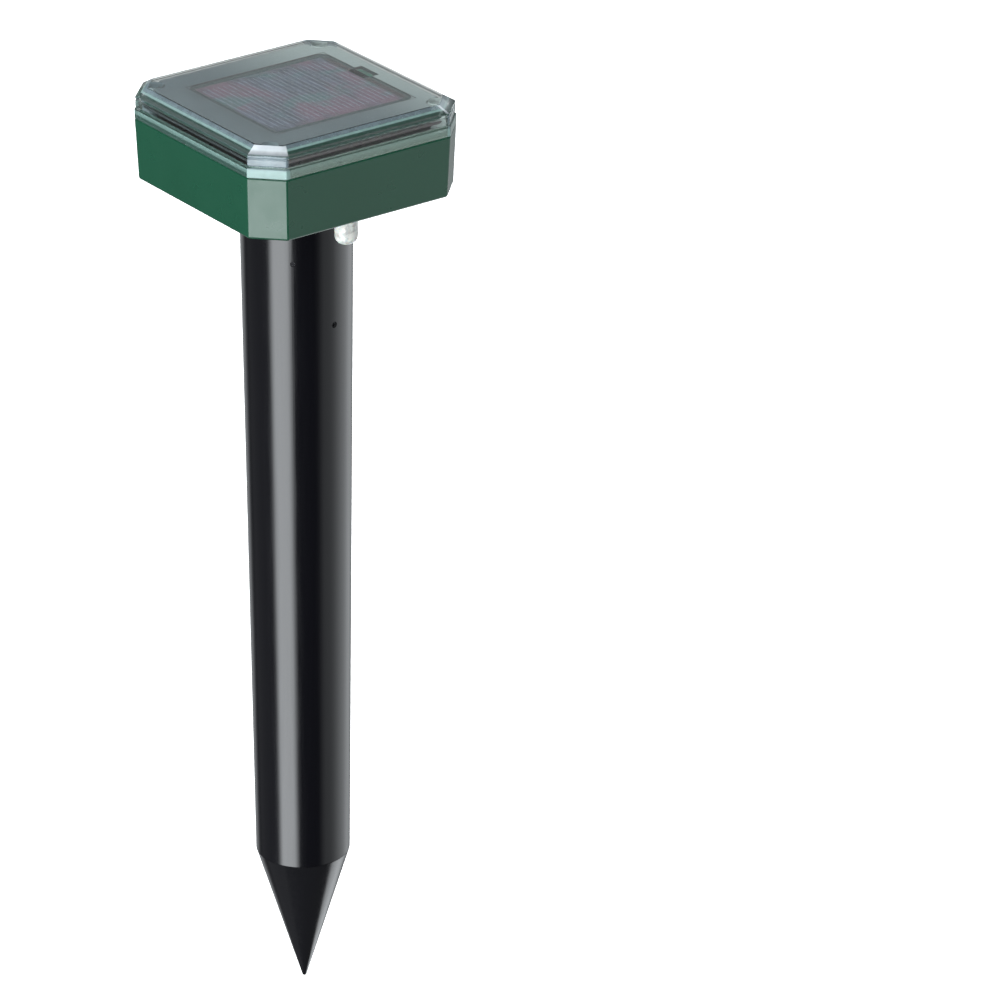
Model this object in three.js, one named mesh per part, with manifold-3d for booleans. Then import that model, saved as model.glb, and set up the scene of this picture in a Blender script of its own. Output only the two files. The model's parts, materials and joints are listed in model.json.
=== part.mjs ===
// Solar garden stake that drives burrowing pests away with sound.
// Units are millimetres and +Z is up. The origin is on the stake's axis, at the level of the soil.
// The front is -Y: the push button is on that side, under the head.

import * as THREE from "three";
import { mergeVertices } from "three/addons/utils/BufferGeometryUtils.js";
import Module from "manifold-3d";

const wasm = await Module();
wasm.setup();

// ---------------------------------------------------------------- driving dimensions
const GAP = 0.3; // clearance between pieces that touch
const HEAD_ABOVE_SOIL = 25; // soil level to the underside of the head

const HEAD_SIDE = 100; // across the flats at the top of the green body
const HEAD_SIDE_LOW = 98.4; // across the flats at its underside
const HEAD_CORNER = 11; // leg of each cut corner
const HEAD_HEIGHT = 25.6;
const HEAD_BEVEL = 0.7; // small bevel round the underside
const HEAD_FLOOR = 2.5;
const CAVITY_SIDE = 94.4;
const CAVITY_CORNER = 9;

const COVER_TOP = 38.1; // top of the clear cover above the underside of the head
const COVER_EDGE = 35.1; // where the bevel starts
const COVER_WALL_SIDE = 99.2;
const COVER_TOP_SIDE = 89.5;
const COVER_TOP_CORNER = 7.8;
const COVER_INNER_SIDE = 93.2;
const COVER_SKIN = 2.5; // thickness of its top
const LIP_TOP = 29.8; // top of the lip that sits on the green body
const WALL_GROOVE = { at: 33.8, depth: 0.5, halfWidth: 0.3 }; // fine groove round the wall

const SEAL_SIDE = 98.1; // gasket in the rim, across the flats of its outline
const SEAL_INNER_SIDE = 96.5;
const SEAL_DEPTH = 0.9;

const POST_AT = 39.6; // the four screw posts, along X and along Y
const POST_R = 4.2;
const COVER_POST_R = 3.4;
const CASE_SCREW_HEAD_R = 3;
const CASE_SCREW_SHANK_R = 1.4;
const CASE_SCREW_SEAT = 14; // height of the shoulder that the screw heads pull on
const CASE_SCREW_TOP = 31;

const TRAY_BOTTOM = 31;
const TRAY_TOP = 35.2;
const TRAY_SIDE = 91.4;
const PANEL_AT = { x: 2.5, y: 0 };
const PANEL = { x: 66, y: 62 };
const PANEL_FLOOR = 32.3; // floor of the tray's recess
const CELL_COUNT = 4;
const CELL_GAP = 0.5;
const LEAD_NOTCH = { inwards: 2.6, width: 9, y: 4 }; // in the panel's edge, where its leads pass

const TUBE_TOP_R = 22.8;
const TUBE_BOTTOM_R = 19.7;
const TUBE_LENGTH = 300;
const TUBE_WALL = 2;
const SPIKE_LENGTH = 63.4;
const SPIKE_TIP_R = 1;

const COLLAR_DEPTH = 6; // skirt on the head that the tube's end sits in
const COLLAR_WALL = 2.8;
const SPIGOT_R = 20.2;
const SPIGOT_BORE_R = 17.8;
const SPIGOT_DEPTH = 34;
const O_RING_AT = 10.5; // below the underside of the head
const O_RING_WIRE_R = 0.6;
const O_RING_R = SPIGOT_R - 0.2; // to the middle of its section

const NECK_SCREW = { depth: 26.2, azimuth: -38.8, headR: 1.2, shankR: 0.9, length: 5.2 };
const SPEAKER_SCREW = { depth: 54.8, azimuth: 5.8, headR: 1.5, shankR: 1, length: 4.6 };

const BUTTON_AT = { x: 0, y: -34 };
const BUTTON_R = 4.65;
const BUTTON_BOTTOM = -15; // the cap's lowest point
const DOME_HEIGHT = 4;
const BUTTON_TOP = -1.6;
const BUTTON_TRAVEL = 2.5;
const BUSH_R = 6;
const BUSH_BORE_R = 5;
const BUSH_BOTTOM = -4;
const PLUNGER_R = 2;
const PLUNGER_BOTTOM = -8.7;
const PLUNGER_TOP = 9.8;
const SWITCH_SIDE = 14;
const SWITCH_TOP = 14.2;
const NUT = { cornerR: 8.4, height: 2.6 };
const FLANGE_R = 4.4;
const SPRING_R = 3.4; // to the middle of the wire
const SPRING_WIRE_R = 0.35;
const SPRING_TURNS = 4;
const SPRING_SEAT = 8.2; // ceiling of the bush that the spring pushes on

const BOARD = { x: 26.5, y: 0, sizeX: 36, sizeY: 60, bottom: 9.3, thickness: 1.6 };
const BOARD_SCREWS = [
  { x: 12, y: -26 },
  { x: 41, y: 26 },
];
const BOARD_POST_R = 2.6;
const BOARD_PEGS = [
  { x: 12, y: 26 },
  { x: 41, y: -26 },
];

const CELL_R = 5.2; // battery cells
const CELL_LENGTH = 44.5;
const BATTERY_X = [-37.9, -27.1, -16.3];
const BATTERY_Z = 10.4;

const SPEAKER_R = 19.4;
const SPEAKER_TOP = -40; // top of the yoke below the head
const SPEAKER_RIM = { top: -50.5, bottom: -61 };
const CONE_R = 15.4;

const WIRE_R = 0.6;

// ---------------------------------------------------------------- small helpers

const COLOUR = {
  green: { color: 0x14573f, roughness: 0.42, metalness: 0 },
  clear: { color: 0xdfeeee, roughness: 0.08, metalness: 0, transparent: true, opacity: 0.35 },
  trim: { color: 0x1b3830, roughness: 0.6, metalness: 0 },
  black: { color: 0x0b0b0d, roughness: 0.22, metalness: 0 },
  rubber: { color: 0x161616, roughness: 0.8, metalness: 0 },
  seal: { color: 0x8f9a94, roughness: 0.7, metalness: 0 },
  white: { color: 0xe9ebe6, roughness: 0.45, metalness: 0 },
  nylon: { color: 0xd4d4cc, roughness: 0.5, metalness: 0 },
  cell: { color: 0x27303f, roughness: 0.3, metalness: 0.2 },
  board: { color: 0x1d5a33, roughness: 0.5, metalness: 0 },
  steel: { color: 0xa9abad, roughness: 0.35, metalness: 1 },
  darkSteel: { color: 0x2a2a2c, roughness: 0.4, metalness: 1 },
  copper: { color: 0xb06a3a, roughness: 0.35, metalness: 1 },
  ferrite: { color: 0x303032, roughness: 0.7, metalness: 0 },
  epoxy: { color: 0x1a1a1c, roughness: 0.5, metalness: 0 },
  sleeve: { color: 0x2e6a8f, roughness: 0.4, metalness: 0 },
  red: { color: 0xa51f1c, roughness: 0.5, metalness: 0 },
  paper: { color: 0x2b2724, roughness: 0.9, metalness: 0 },
  tan: { color: 0xc3a878, roughness: 0.6, metalness: 0 },
};

function named(name, geometry, look, x = 0, y = 0, z = 0) {
  const mesh = new THREE.Mesh(geometry, new THREE.MeshStandardMaterial(COLOUR[look]));
  mesh.name = name;
  mesh.position.set(x, y, z);
  return mesh;
}

// A geometry as a solid that can be joined and cut.
function solid(geometry) {
  const bare = geometry.index ? geometry.toNonIndexed() : geometry.clone();
  for (const extra of ["normal", "uv"]) bare.deleteAttribute(extra);
  const merged = mergeVertices(bare, 1e-4);
  const vertProperties = new Float32Array(merged.attributes.position.array);
  const triVerts = new Uint32Array(merged.index.array);
  return new wasm.Manifold(new wasm.Mesh({ numProp: 3, vertProperties, triVerts }));
}

// The geometry of a solid after cuts and joins.
function geometryOf(body) {
  const mesh = body.getMesh();
  const geometry = new THREE.BufferGeometry();
  geometry.setAttribute("position", new THREE.BufferAttribute(mesh.vertProperties, 3));
  geometry.setIndex(new THREE.BufferAttribute(mesh.triVerts, 1));
  return geometry.toNonIndexed();
}

function join(first, ...others) {
  return others.reduce((sum, next) => sum.add(next), first);
}

function cut(first, ...others) {
  return others.reduce((rest, next) => rest.subtract(next), first);
}

// An upright cylinder between two heights.
function rod(r, z0, z1, segments = 24, x = 0, y = 0) {
  const geometry = new THREE.CylinderGeometry(r, r, z1 - z0, segments);
  geometry.rotateX(Math.PI / 2);
  geometry.translate(x, y, (z0 + z1) / 2);
  return geometry;
}

function block(sizeX, sizeY, z0, z1, x = 0, y = 0) {
  const geometry = new THREE.BoxGeometry(sizeX, sizeY, z1 - z0);
  geometry.translate(x, y, (z0 + z1) / 2);
  return geometry;
}

// A body of revolution about Z from [radius, height] points, listed from the bottom
// outwards and up, so that its faces point out.
function turned(profile, segments = 48) {
  const points = profile.map(([r, z]) => new THREE.Vector2(r, z));
  const geometry = new THREE.LatheGeometry(points, segments);
  geometry.rotateX(Math.PI / 2);
  return geometry;
}

// A closed ring: the profile's last point repeats its first.
function turnedRing(profile, segments = 48) {
  return turned([...profile, profile[0]], segments);
}

// The corners of a square with four cut corners, anticlockwise.
function octagon(side, corner) {
  const h = side / 2;
  const near = h - corner;
  return [
    [h, -near],
    [h, near],
    [near, h],
    [-near, h],
    [-h, near],
    [-h, -near],
    [-near, -h],
    [near, -h],
  ];
}

// A stack of octagons joined by flat bands, closed at both ends. Each level is
// [height, side, corner]; heights may be equal, which makes a flat step.
function octagonStack(levels) {
  const rings = levels.map(([z, side, corner]) => octagon(side, corner).map(([x, y]) => [x, y, z]));
  const position = [];
  const push = (...corners) => corners.forEach((p) => position.push(...p));
  for (let level = 1; level < rings.length; level += 1) {
    const low = rings[level - 1];
    const high = rings[level];
    for (let i = 0; i < 8; i += 1) {
      const next = (i + 1) % 8;
      push(low[i], low[next], high[next]);
      push(low[i], high[next], high[i]);
    }
  }
  const bottom = rings[0];
  const top = rings[rings.length - 1];
  for (let i = 1; i < 7; i += 1) {
    push(bottom[0], bottom[i + 1], bottom[i]);
    push(top[0], top[i], top[i + 1]);
  }
  const geometry = new THREE.BufferGeometry();
  geometry.setAttribute("position", new THREE.Float32BufferAttribute(position, 3));
  return geometry;
}

// A round wire along a smooth curve through the given points.
function wire(points, r = WIRE_R, steps = 10, sides = 8) {
  const curve = new THREE.CatmullRomCurve3(points.map((p) => new THREE.Vector3(...p)));
  const section = new THREE.Shape();
  for (let i = 0; i < sides; i += 1) {
    const angle = (2 * Math.PI * i) / sides;
    const x = r * Math.cos(angle);
    const y = r * Math.sin(angle);
    if (i === 0) section.moveTo(x, y);
    else section.lineTo(x, y);
  }
  section.closePath();
  return new THREE.ExtrudeGeometry(section, { steps, extrudePath: curve, curveSegments: sides });
}

// A screw that points up, with its head's outer face at z = 0 and a cross recess in it.
function screwGeometry(headR, headHeight, shankR, length) {
  const slotWidth = headR * 0.34;
  const slotDepth = headHeight * 0.5;
  const body = solid(
    turned(
      [
        [0, 0],
        [headR * 0.8, 0],
        [headR, headHeight * 0.3],
        [headR, headHeight],
        [shankR, headHeight],
        [shankR, length - shankR],
        [0, length],
      ],
      12,
    ),
  );
  const slotA = solid(block(headR * 1.3, slotWidth, -1, slotDepth));
  const slotB = solid(block(slotWidth, headR * 1.3, -1, slotDepth));
  return geometryOf(cut(body, slotA, slotB));
}

// Turns something built along +Z so that it points at the axis from a given side.
// The azimuth is counted from the front (-Y) towards +X, in degrees.
function pointInwards(object, azimuth, radius, z) {
  const angle = THREE.MathUtils.degToRad(azimuth);
  const outwards = new THREE.Vector3(Math.sin(angle), -Math.cos(angle), 0);
  const turn = new THREE.Quaternion().setFromUnitVectors(
    new THREE.Vector3(0, 0, 1),
    outwards.clone().negate(),
  );
  const place = new THREE.Matrix4().compose(
    outwards.multiplyScalar(radius).setZ(z),
    turn,
    new THREE.Vector3(1, 1, 1),
  );
  object.applyMatrix4(place);
  return object;
}

const corners = [
  [1, -1],
  [1, 1],
  [-1, 1],
  [-1, -1],
];

function tubeRadius(depth) {
  return TUBE_TOP_R + ((TUBE_BOTTOM_R - TUBE_TOP_R) * depth) / TUBE_LENGTH;
}

// ---------------------------------------------------------------- head

function headBody() {
  const shell = solid(
    octagonStack([
      [0, HEAD_SIDE_LOW - 2 * HEAD_BEVEL, HEAD_CORNER - 0.5],
      [HEAD_BEVEL, HEAD_SIDE_LOW, HEAD_CORNER],
      [HEAD_HEIGHT, HEAD_SIDE, HEAD_CORNER],
    ]),
  );
  const cavity = solid(
    octagonStack([
      [HEAD_FLOOR, CAVITY_SIDE, CAVITY_CORNER],
      [HEAD_HEIGHT + 1, CAVITY_SIDE, CAVITY_CORNER],
    ]),
  );
  const posts = corners.map(([sx, sy]) =>
    solid(rod(POST_R, 0.5, HEAD_HEIGHT, 16, sx * POST_AT, sy * POST_AT)),
  );
  const pegs = [...BOARD_SCREWS, ...BOARD_PEGS].map(({ x, y }) =>
    solid(rod(BOARD_POST_R, 1, BOARD.bottom - GAP, 10, x, y)),
  );
  const collarR = TUBE_TOP_R + GAP;
  const collar = solid(
    turnedRing(
      [
        [collarR, -COLLAR_DEPTH],
        [collarR + COLLAR_WALL - 0.8, -COLLAR_DEPTH],
        [collarR + COLLAR_WALL, 0.5],
        [collarR, 0.5],
      ],
      40,
    ),
  );
  const spigot = solid(
    turnedRing(
      [
        [SPIGOT_BORE_R, -SPIGOT_DEPTH],
        [SPIGOT_R - 0.5, -SPIGOT_DEPTH],
        [SPIGOT_R, -SPIGOT_DEPTH + 2],
        [SPIGOT_R, 0.5],
        [SPIGOT_BORE_R, 0.5],
      ],
      40,
    ),
  );
  const grooveFloor = O_RING_R - O_RING_WIRE_R - 0.15;
  const ringGroove = solid(
    ringBetween(grooveFloor, SPIGOT_R + 1, -O_RING_AT - 0.9, -O_RING_AT + 0.9, 40),
  );
  const grooveBottom = HEAD_HEIGHT - SEAL_DEPTH - GAP;
  const sealOuter = solid(octagonStack(sealLevels(grooveBottom, HEAD_HEIGHT + 1, GAP)[0]));
  const sealInner = solid(octagonStack(sealLevels(grooveBottom - 1, HEAD_HEIGHT + 2, GAP)[1]));
  const screwWays = corners.flatMap(([sx, sy]) => {
    const at = [sx * POST_AT, sy * POST_AT];
    const well = rod(CASE_SCREW_HEAD_R + 0.5, -1, CASE_SCREW_SEAT, 16, ...at);
    const way = rod(CASE_SCREW_SHANK_R + GAP, 0, HEAD_HEIGHT + 1, 10, ...at);
    return [solid(well), solid(way)];
  });
  const boardHoles = BOARD_SCREWS.map(({ x, y }) => solid(rod(1.4, 3.2, BOARD.bottom, 10, x, y)));
  const cableWay = solid(rod(6, -5, 5, 24));
  const switchHole = solid(rod(BUSH_R + GAP, -1, 4, 24, BUTTON_AT.x, BUTTON_AT.y));
  const screwHoles = [NECK_SCREW.azimuth, NECK_SCREW.azimuth + 180].map((azimuth) => {
    const hole = rod(NECK_SCREW.shankR + GAP, 0, 8, 8);
    return solid(pointInwards(hole, azimuth, SPIGOT_R + 1, -NECK_SCREW.depth));
  });
  const rim = cut(shell, cavity);
  const outside = join(rim, ...posts, ...pegs, collar, spigot);
  const grooved = cut(outside, ringGroove, cut(sealOuter, sealInner));
  return geometryOf(
    cut(grooved, ...screwWays, ...boardHoles, cableWay, switchHole, ...screwHoles),
  );
}

// Outer and inner outline of the gasket in the head's rim, grown by a clearance.
function sealLevels(z0, z1, clearance) {
  const outer = SEAL_SIDE + 2 * clearance;
  const inner = SEAL_INNER_SIDE - 2 * clearance;
  return [
    [
      [z0, outer, HEAD_CORNER - 0.6],
      [z1, outer, HEAD_CORNER - 0.6],
    ],
    [
      [z0, inner, HEAD_CORNER - 1.1],
      [z1, inner, HEAD_CORNER - 1.1],
    ],
  ];
}

function coverSeal() {
  const [outer] = sealLevels(HEAD_HEIGHT - SEAL_DEPTH, HEAD_HEIGHT + 0.05, 0);
  const [, inner] = sealLevels(HEAD_HEIGHT - SEAL_DEPTH - 1, HEAD_HEIGHT + 1, 0);
  return geometryOf(cut(solid(octagonStack(outer)), solid(octagonStack(inner))));
}

function clearCover() {
  const bottom = HEAD_HEIGHT + GAP;
  const ceiling = COVER_TOP - COVER_SKIN;
  const outside = solid(
    octagonStack([
      [bottom, HEAD_SIDE, HEAD_CORNER],
      [LIP_TOP, HEAD_SIDE, HEAD_CORNER],
      [LIP_TOP + 0.5, HEAD_SIDE - 2.6, HEAD_CORNER - 0.6],
      [LIP_TOP + 1, COVER_WALL_SIDE, HEAD_CORNER - 0.25],
      [WALL_GROOVE.at - WALL_GROOVE.halfWidth, COVER_WALL_SIDE, HEAD_CORNER - 0.25],
      [WALL_GROOVE.at, COVER_WALL_SIDE - 2 * WALL_GROOVE.depth, HEAD_CORNER - 0.5],
      [WALL_GROOVE.at + WALL_GROOVE.halfWidth, COVER_WALL_SIDE, HEAD_CORNER - 0.25],
      [COVER_EDGE, COVER_WALL_SIDE, HEAD_CORNER - 0.25],
      [COVER_TOP - 0.35, COVER_TOP_SIDE + 1.2, COVER_TOP_CORNER + 0.4],
      [COVER_TOP, COVER_TOP_SIDE, COVER_TOP_CORNER],
    ]),
  );
  const inside = solid(
    octagonStack([
      [bottom - 1, COVER_INNER_SIDE + 0.8, HEAD_CORNER - 2.4],
      [ceiling - 2, COVER_INNER_SIDE, HEAD_CORNER - 2.6],
      [ceiling, COVER_INNER_SIDE - 4, HEAD_CORNER - 3.2],
    ]),
  );
  const posts = corners.map(([sx, sy]) =>
    solid(rod(COVER_POST_R, bottom, ceiling + 0.5, 16, sx * POST_AT, sy * POST_AT)),
  );
  const holeR = CASE_SCREW_SHANK_R + GAP;
  const holeTop = CASE_SCREW_TOP + 2 * GAP;
  const screwHoles = corners.map(([sx, sy]) =>
    solid(rod(holeR, bottom - 1, holeTop, 10, sx * POST_AT, sy * POST_AT)),
  );
  return geometryOf(cut(join(cut(outside, inside), ...posts), ...screwHoles));
}

function panelTray() {
  const plate = solid(
    octagonStack([
      [TRAY_BOTTOM, TRAY_SIDE, HEAD_CORNER - 1.5],
      [TRAY_TOP - 2.6, TRAY_SIDE, HEAD_CORNER - 1.5],
      [TRAY_TOP, TRAY_SIDE - 4.6, HEAD_CORNER - 2.2],
    ]),
  );
  const recess = solid(
    block(PANEL.x + 0.8, PANEL.y + 0.8, PANEL_FLOOR, TRAY_TOP + 1, PANEL_AT.x, PANEL_AT.y),
  );
  const slotX = PANEL_AT.x + PANEL.x / 2 + 1.2;
  const slotWidth = LEAD_NOTCH.width + 3;
  const leadSlot = solid(
    block(5, slotWidth, TRAY_BOTTOM - 1, TRAY_TOP + 1, slotX, LEAD_NOTCH.y),
  );
  const hollow = solid(block(76, 56, TRAY_BOTTOM - 1, TRAY_BOTTOM + 0.4, -1, 0));
  const notches = corners.map(([sx, sy]) =>
    solid(rod(COVER_POST_R + 0.5, TRAY_BOTTOM - 1, TRAY_TOP + 1, 14, sx * POST_AT, sy * POST_AT)),
  );
  return geometryOf(cut(plate, recess, leadSlot, hollow, ...notches));
}

function solarPanel() {
  const group = new THREE.Group();
  group.position.set(PANEL_AT.x, PANEL_AT.y, 0);
  const backing = solid(block(PANEL.x, PANEL.y, PANEL_FLOOR + 0.1, PANEL_FLOOR + 1.5));
  const notchSize = 2 * LEAD_NOTCH.inwards;
  const tabNotch = solid(
    block(notchSize, LEAD_NOTCH.width, PANEL_FLOOR - 1, TRAY_TOP, PANEL.x / 2, LEAD_NOTCH.y),
  );
  group.add(named("panel_backing", geometryOf(cut(backing, tabNotch)), "trim"));
  const deadEdge = 5; // bare board along the panel's two ends, in all
  const pitch = (PANEL.x - deadEdge) / CELL_COUNT;
  for (let i = 0; i < CELL_COUNT; i += 1) {
    const x = (i - (CELL_COUNT - 1) / 2) * pitch - 0.8;
    const cell = block(pitch - CELL_GAP, PANEL.y - 6, PANEL_FLOOR + 1.6, PANEL_FLOOR + 1.85);
    group.add(named(`solar_cell_${i + 1}`, cell, "cell", x));
  }
  const resin = solid(block(PANEL.x, PANEL.y, PANEL_FLOOR + 1.95, TRAY_TOP - 0.15));
  group.add(named("panel_resin", geometryOf(cut(resin, tabNotch)), "clear"));
  return group;
}

function caseScrews() {
  const group = new THREE.Group();
  corners.forEach(([sx, sy], i) => {
    const seat = CASE_SCREW_SEAT - GAP;
    const headHeight = 2.2;
    const length = CASE_SCREW_TOP - seat + headHeight;
    const geometry = screwGeometry(CASE_SCREW_HEAD_R, headHeight, CASE_SCREW_SHANK_R, length);
    const screw = named(`case_screw_${i + 1}`, geometry, "steel");
    screw.position.set(sx * POST_AT, sy * POST_AT, seat - headHeight);
    group.add(screw);
  });
  return group;
}

// ---------------------------------------------------------------- circuit board

function circuitBoard() {
  const group = new THREE.Group();
  const top = BOARD.bottom + BOARD.thickness;
  const plate = solid(block(BOARD.sizeX, BOARD.sizeY, BOARD.bottom, top, BOARD.x, BOARD.y));
  const holes = BOARD_SCREWS.map(({ x, y }) => solid(rod(1.5, BOARD.bottom - 1, top + 1, 12, x, y)));
  group.add(named("circuit_board", geometryOf(cut(plate, ...holes)), "board"));

  const seat = top + GAP;
  const chip = solid(block(6.4, 9.6, seat + 0.8, seat + 4.2));
  const legs = [-3.6, 3.6].flatMap((x) =>
    [-3.8, -1.27, 1.27, 3.8].map((y) => solid(block(1, 0.5, seat, seat + 2.4, x, y))),
  );
  const chipBody = geometryOf(join(chip, ...legs));
  group.add(named("controller_chip", chipBody, "epoxy", 27, -4));

  const can = (r, height) =>
    turned(
      [
        [0, seat],
        [r, seat],
        [r, seat + 0.8],
        [r - 0.3, seat + 1.3],
        [r, seat + 1.8],
        [r, seat + height - 0.4],
        [r - 0.4, seat + height],
        [0, seat + height],
      ],
      16,
    );
  group.add(named("capacitor_large", can(4, 12), "sleeve", 36, -17));
  group.add(named("capacitor_small", can(2.5, 9), "sleeve", 27, -19));

  const coil = turned(
    [
      [0, seat],
      [4.2, seat],
      [4.2, seat + 0.9],
      [3.3, seat + 1.4],
      [3.3, seat + 6.4],
      [4.2, seat + 6.9],
      [4.2, seat + 7.8],
      [0, seat + 7.8],
    ],
    16,
  );
  group.add(named("boost_inductor", coil, "ferrite", 37, 8));

  const flat = solid(block(6, 3, seat, seat + 8, 0, 3));
  const half = cut(solid(rod(2.4, seat + 2, seat + 7, 16)), flat);
  const pins = [-1.27, 0, 1.27].map((x) => solid(block(0.5, 0.4, seat, seat + 2.5, x, -0.2)));
  const transistor = geometryOf(join(half, ...pins));
  group.add(named("drive_transistor", transistor, "epoxy", 18, 12));

  const axial = (r, length) => {
    const geometry = new THREE.CylinderGeometry(r, r, length, 12);
    geometry.translate(0, 0, seat + r);
    return geometry;
  };
  group.add(named("charge_diode", axial(1.3, 5.2), "epoxy", 17, -14));
  group.add(named("resistor_1", axial(1.1, 6.2), "tan", 24, 18));
  group.add(named("resistor_2", axial(1.1, 6.2), "tan", 29, 18));

  BOARD_SCREWS.forEach(({ x, y }, i) => {
    const screw = screwGeometry(2.4, 1.5, 1.1, 7);
    screw.rotateX(Math.PI);
    group.add(named(`board_screw_${i + 1}`, screw, "steel", x, y, top + GAP + 1.5));
  });
  return group;
}

// ---------------------------------------------------------------- battery

function battery() {
  const group = new THREE.Group();
  const middle = BATTERY_X[1];
  const tray = solid(block(35.4, 49, HEAD_FLOOR + GAP, 9, middle, 0));
  const room = solid(block(32.8, 46.4, HEAD_FLOOR + GAP + 1.6, 10, middle, 0));
  group.add(named("battery_cradle", geometryOf(cut(tray, room)), "black"));
  BATTERY_X.forEach((x, i) => {
    const cell = new THREE.CylinderGeometry(CELL_R, CELL_R, CELL_LENGTH - 1, 20);
    const button = new THREE.CylinderGeometry(1.9, 1.9, 1.2, 10);
    const end = i % 2 === 0 ? 1 : -1;
    button.translate(0, (end * (CELL_LENGTH - 1)) / 2, 0);
    const both = geometryOf(join(solid(cell), solid(button)));
    group.add(named(`battery_cell_${i + 1}`, both, "sleeve", x, 0, BATTERY_Z));
  });
  [-1, 1].forEach((end, i) => {
    const x = (BATTERY_X[i] + BATTERY_X[i + 1]) / 2;
    const link = block(13, 0.25, -1.8, 1.8);
    const y = end * (CELL_LENGTH / 2 + 0.55);
    group.add(named(`cell_link_${i + 1}`, link, "steel", x, y, BATTERY_Z));
  });
  return group;
}

// ---------------------------------------------------------------- push button

function pushButton() {
  const group = new THREE.Group();
  group.position.set(BUTTON_AT.x, BUTTON_AT.y, 0);

  const housing = solid(block(SWITCH_SIDE, SWITCH_SIDE, HEAD_FLOOR + GAP, SWITCH_TOP));
  const bush = solid(rod(BUSH_R, BUSH_BOTTOM, 4, 24));
  const bore = solid(rod(BUSH_BORE_R, BUSH_BOTTOM - 1, SPRING_SEAT, 24));
  const guideTop = PLUNGER_TOP + BUTTON_TRAVEL + GAP;
  const guide = solid(rod(PLUNGER_R + GAP, SPRING_SEAT - 1, guideTop, 12));
  group.add(named("switch_body", geometryOf(cut(join(housing, bush), bore, guide)), "epoxy"));

  const hexagon = rod(NUT.cornerR, -GAP - NUT.height, -GAP, 6);
  hexagon.rotateZ(Math.PI / 6);
  const nut = cut(solid(hexagon), solid(rod(BUSH_R + GAP, -5, 1, 24)));
  group.add(named("switch_nut", geometryOf(nut), "nylon"));

  const socket = solid(rod(PLUNGER_R + GAP, PLUNGER_BOTTOM - GAP, 0, 12));
  const cap = cut(solid(turned(capProfile(), 24)), socket);
  group.add(named("button_cap", geometryOf(cap), "white"));

  const flangeBottom = BUTTON_TOP + GAP;
  const flangeTop = flangeBottom + 0.9;
  const plunger = turned(
    [
      [0, PLUNGER_BOTTOM],
      [PLUNGER_R, PLUNGER_BOTTOM],
      [PLUNGER_R, flangeBottom],
      [FLANGE_R, flangeBottom],
      [FLANGE_R, flangeTop],
      [PLUNGER_R, flangeTop],
      [PLUNGER_R, PLUNGER_TOP],
      [0, PLUNGER_TOP],
    ],
    12,
  );
  group.add(named("switch_plunger", plunger, "nylon"));
  group.add(named("switch_spring", springGeometry(flangeTop, SPRING_SEAT), "steel"));
  return group;
}

// A rubber cap: a straight skirt and a domed end.
function capProfile() {
  const domeBase = BUTTON_BOTTOM + DOME_HEIGHT;
  const profile = [];
  const steps = 6;
  for (let i = 0; i <= steps; i += 1) {
    const angle = (Math.PI / 2) * (i / steps);
    const power = 0.8; // a little squarer than a circle
    const r = BUTTON_R * Math.pow(Math.sin(angle), power);
    const z = domeBase - DOME_HEIGHT * Math.pow(Math.cos(angle), power);
    profile.push([i === 0 ? 0 : r, i === steps ? domeBase : z]);
  }
  profile.push([BUTTON_R, BUTTON_TOP]);
  profile.push([0, BUTTON_TOP]);
  return profile;
}

function springGeometry(z0, z1) {
  const room = SPRING_WIRE_R + 0.15;
  const points = [];
  const stepsPerTurn = 10;
  const steps = SPRING_TURNS * stepsPerTurn;
  for (let i = 0; i <= steps; i += 1) {
    const angle = (2 * Math.PI * i) / stepsPerTurn;
    const z = z0 + room + ((z1 - z0 - 2 * room) * i) / steps;
    points.push([SPRING_R * Math.cos(angle), SPRING_R * Math.sin(angle), z]);
  }
  return wire(points, SPRING_WIRE_R, steps, 5);
}

// ---------------------------------------------------------------- stake

function stakeTube() {
  const low = -TUBE_LENGTH;
  const top = -GAP;
  const sleeve = solid(
    turnedRing(
      [
        [TUBE_BOTTOM_R - TUBE_WALL, low],
        [TUBE_BOTTOM_R, low],
        [TUBE_TOP_R, top],
        [TUBE_TOP_R - TUBE_WALL, top],
      ],
      64,
    ),
  );
  const holes = [NECK_SCREW, SPEAKER_SCREW].flatMap((screw) =>
    [0, 180].flatMap((turn) => {
      const face = tubeRadius(screw.depth);
      const way = rod(screw.shankR + GAP, 0, 6, 8);
      const seat = rod(screw.headR + 0.25, -1, 1.1, 12);
      return [way, seat].map((hole) =>
        solid(pointInwards(hole, screw.azimuth + turn, face, -screw.depth)),
      );
    }),
  );
  return geometryOf(cut(sleeve, ...holes));
}

function spikeTip() {
  const shoulder = -TUBE_LENGTH - GAP;
  const point = shoulder - SPIKE_LENGTH;
  const innerR = TUBE_BOTTOM_R - TUBE_WALL - GAP;
  return turned(
    [
      [0, point],
      [SPIKE_TIP_R * 0.7, point + 0.25],
      [SPIKE_TIP_R, point + SPIKE_TIP_R],
      [TUBE_BOTTOM_R, shoulder],
      [innerR, shoulder],
      [innerR - 0.2, shoulder + 15],
      [innerR - 2.4, shoulder + 15],
      [innerR - 2.4, shoulder],
      [1.2, point + 12],
      [0, point + 12],
    ],
    64,
  );
}

function radialScrews(name, screw) {
  return [0, 180].map((turn, i) => {
    const geometry = screwGeometry(screw.headR, 0.8, screw.shankR, screw.length);
    const recess = 0.25; // how far the head lies below the tube's surface
    const face = tubeRadius(screw.depth) - recess;
    pointInwards(geometry, screw.azimuth + turn, face, -screw.depth);
    return named(`${name}_${i + 1}`, geometry, "darkSteel");
  });
}

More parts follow.
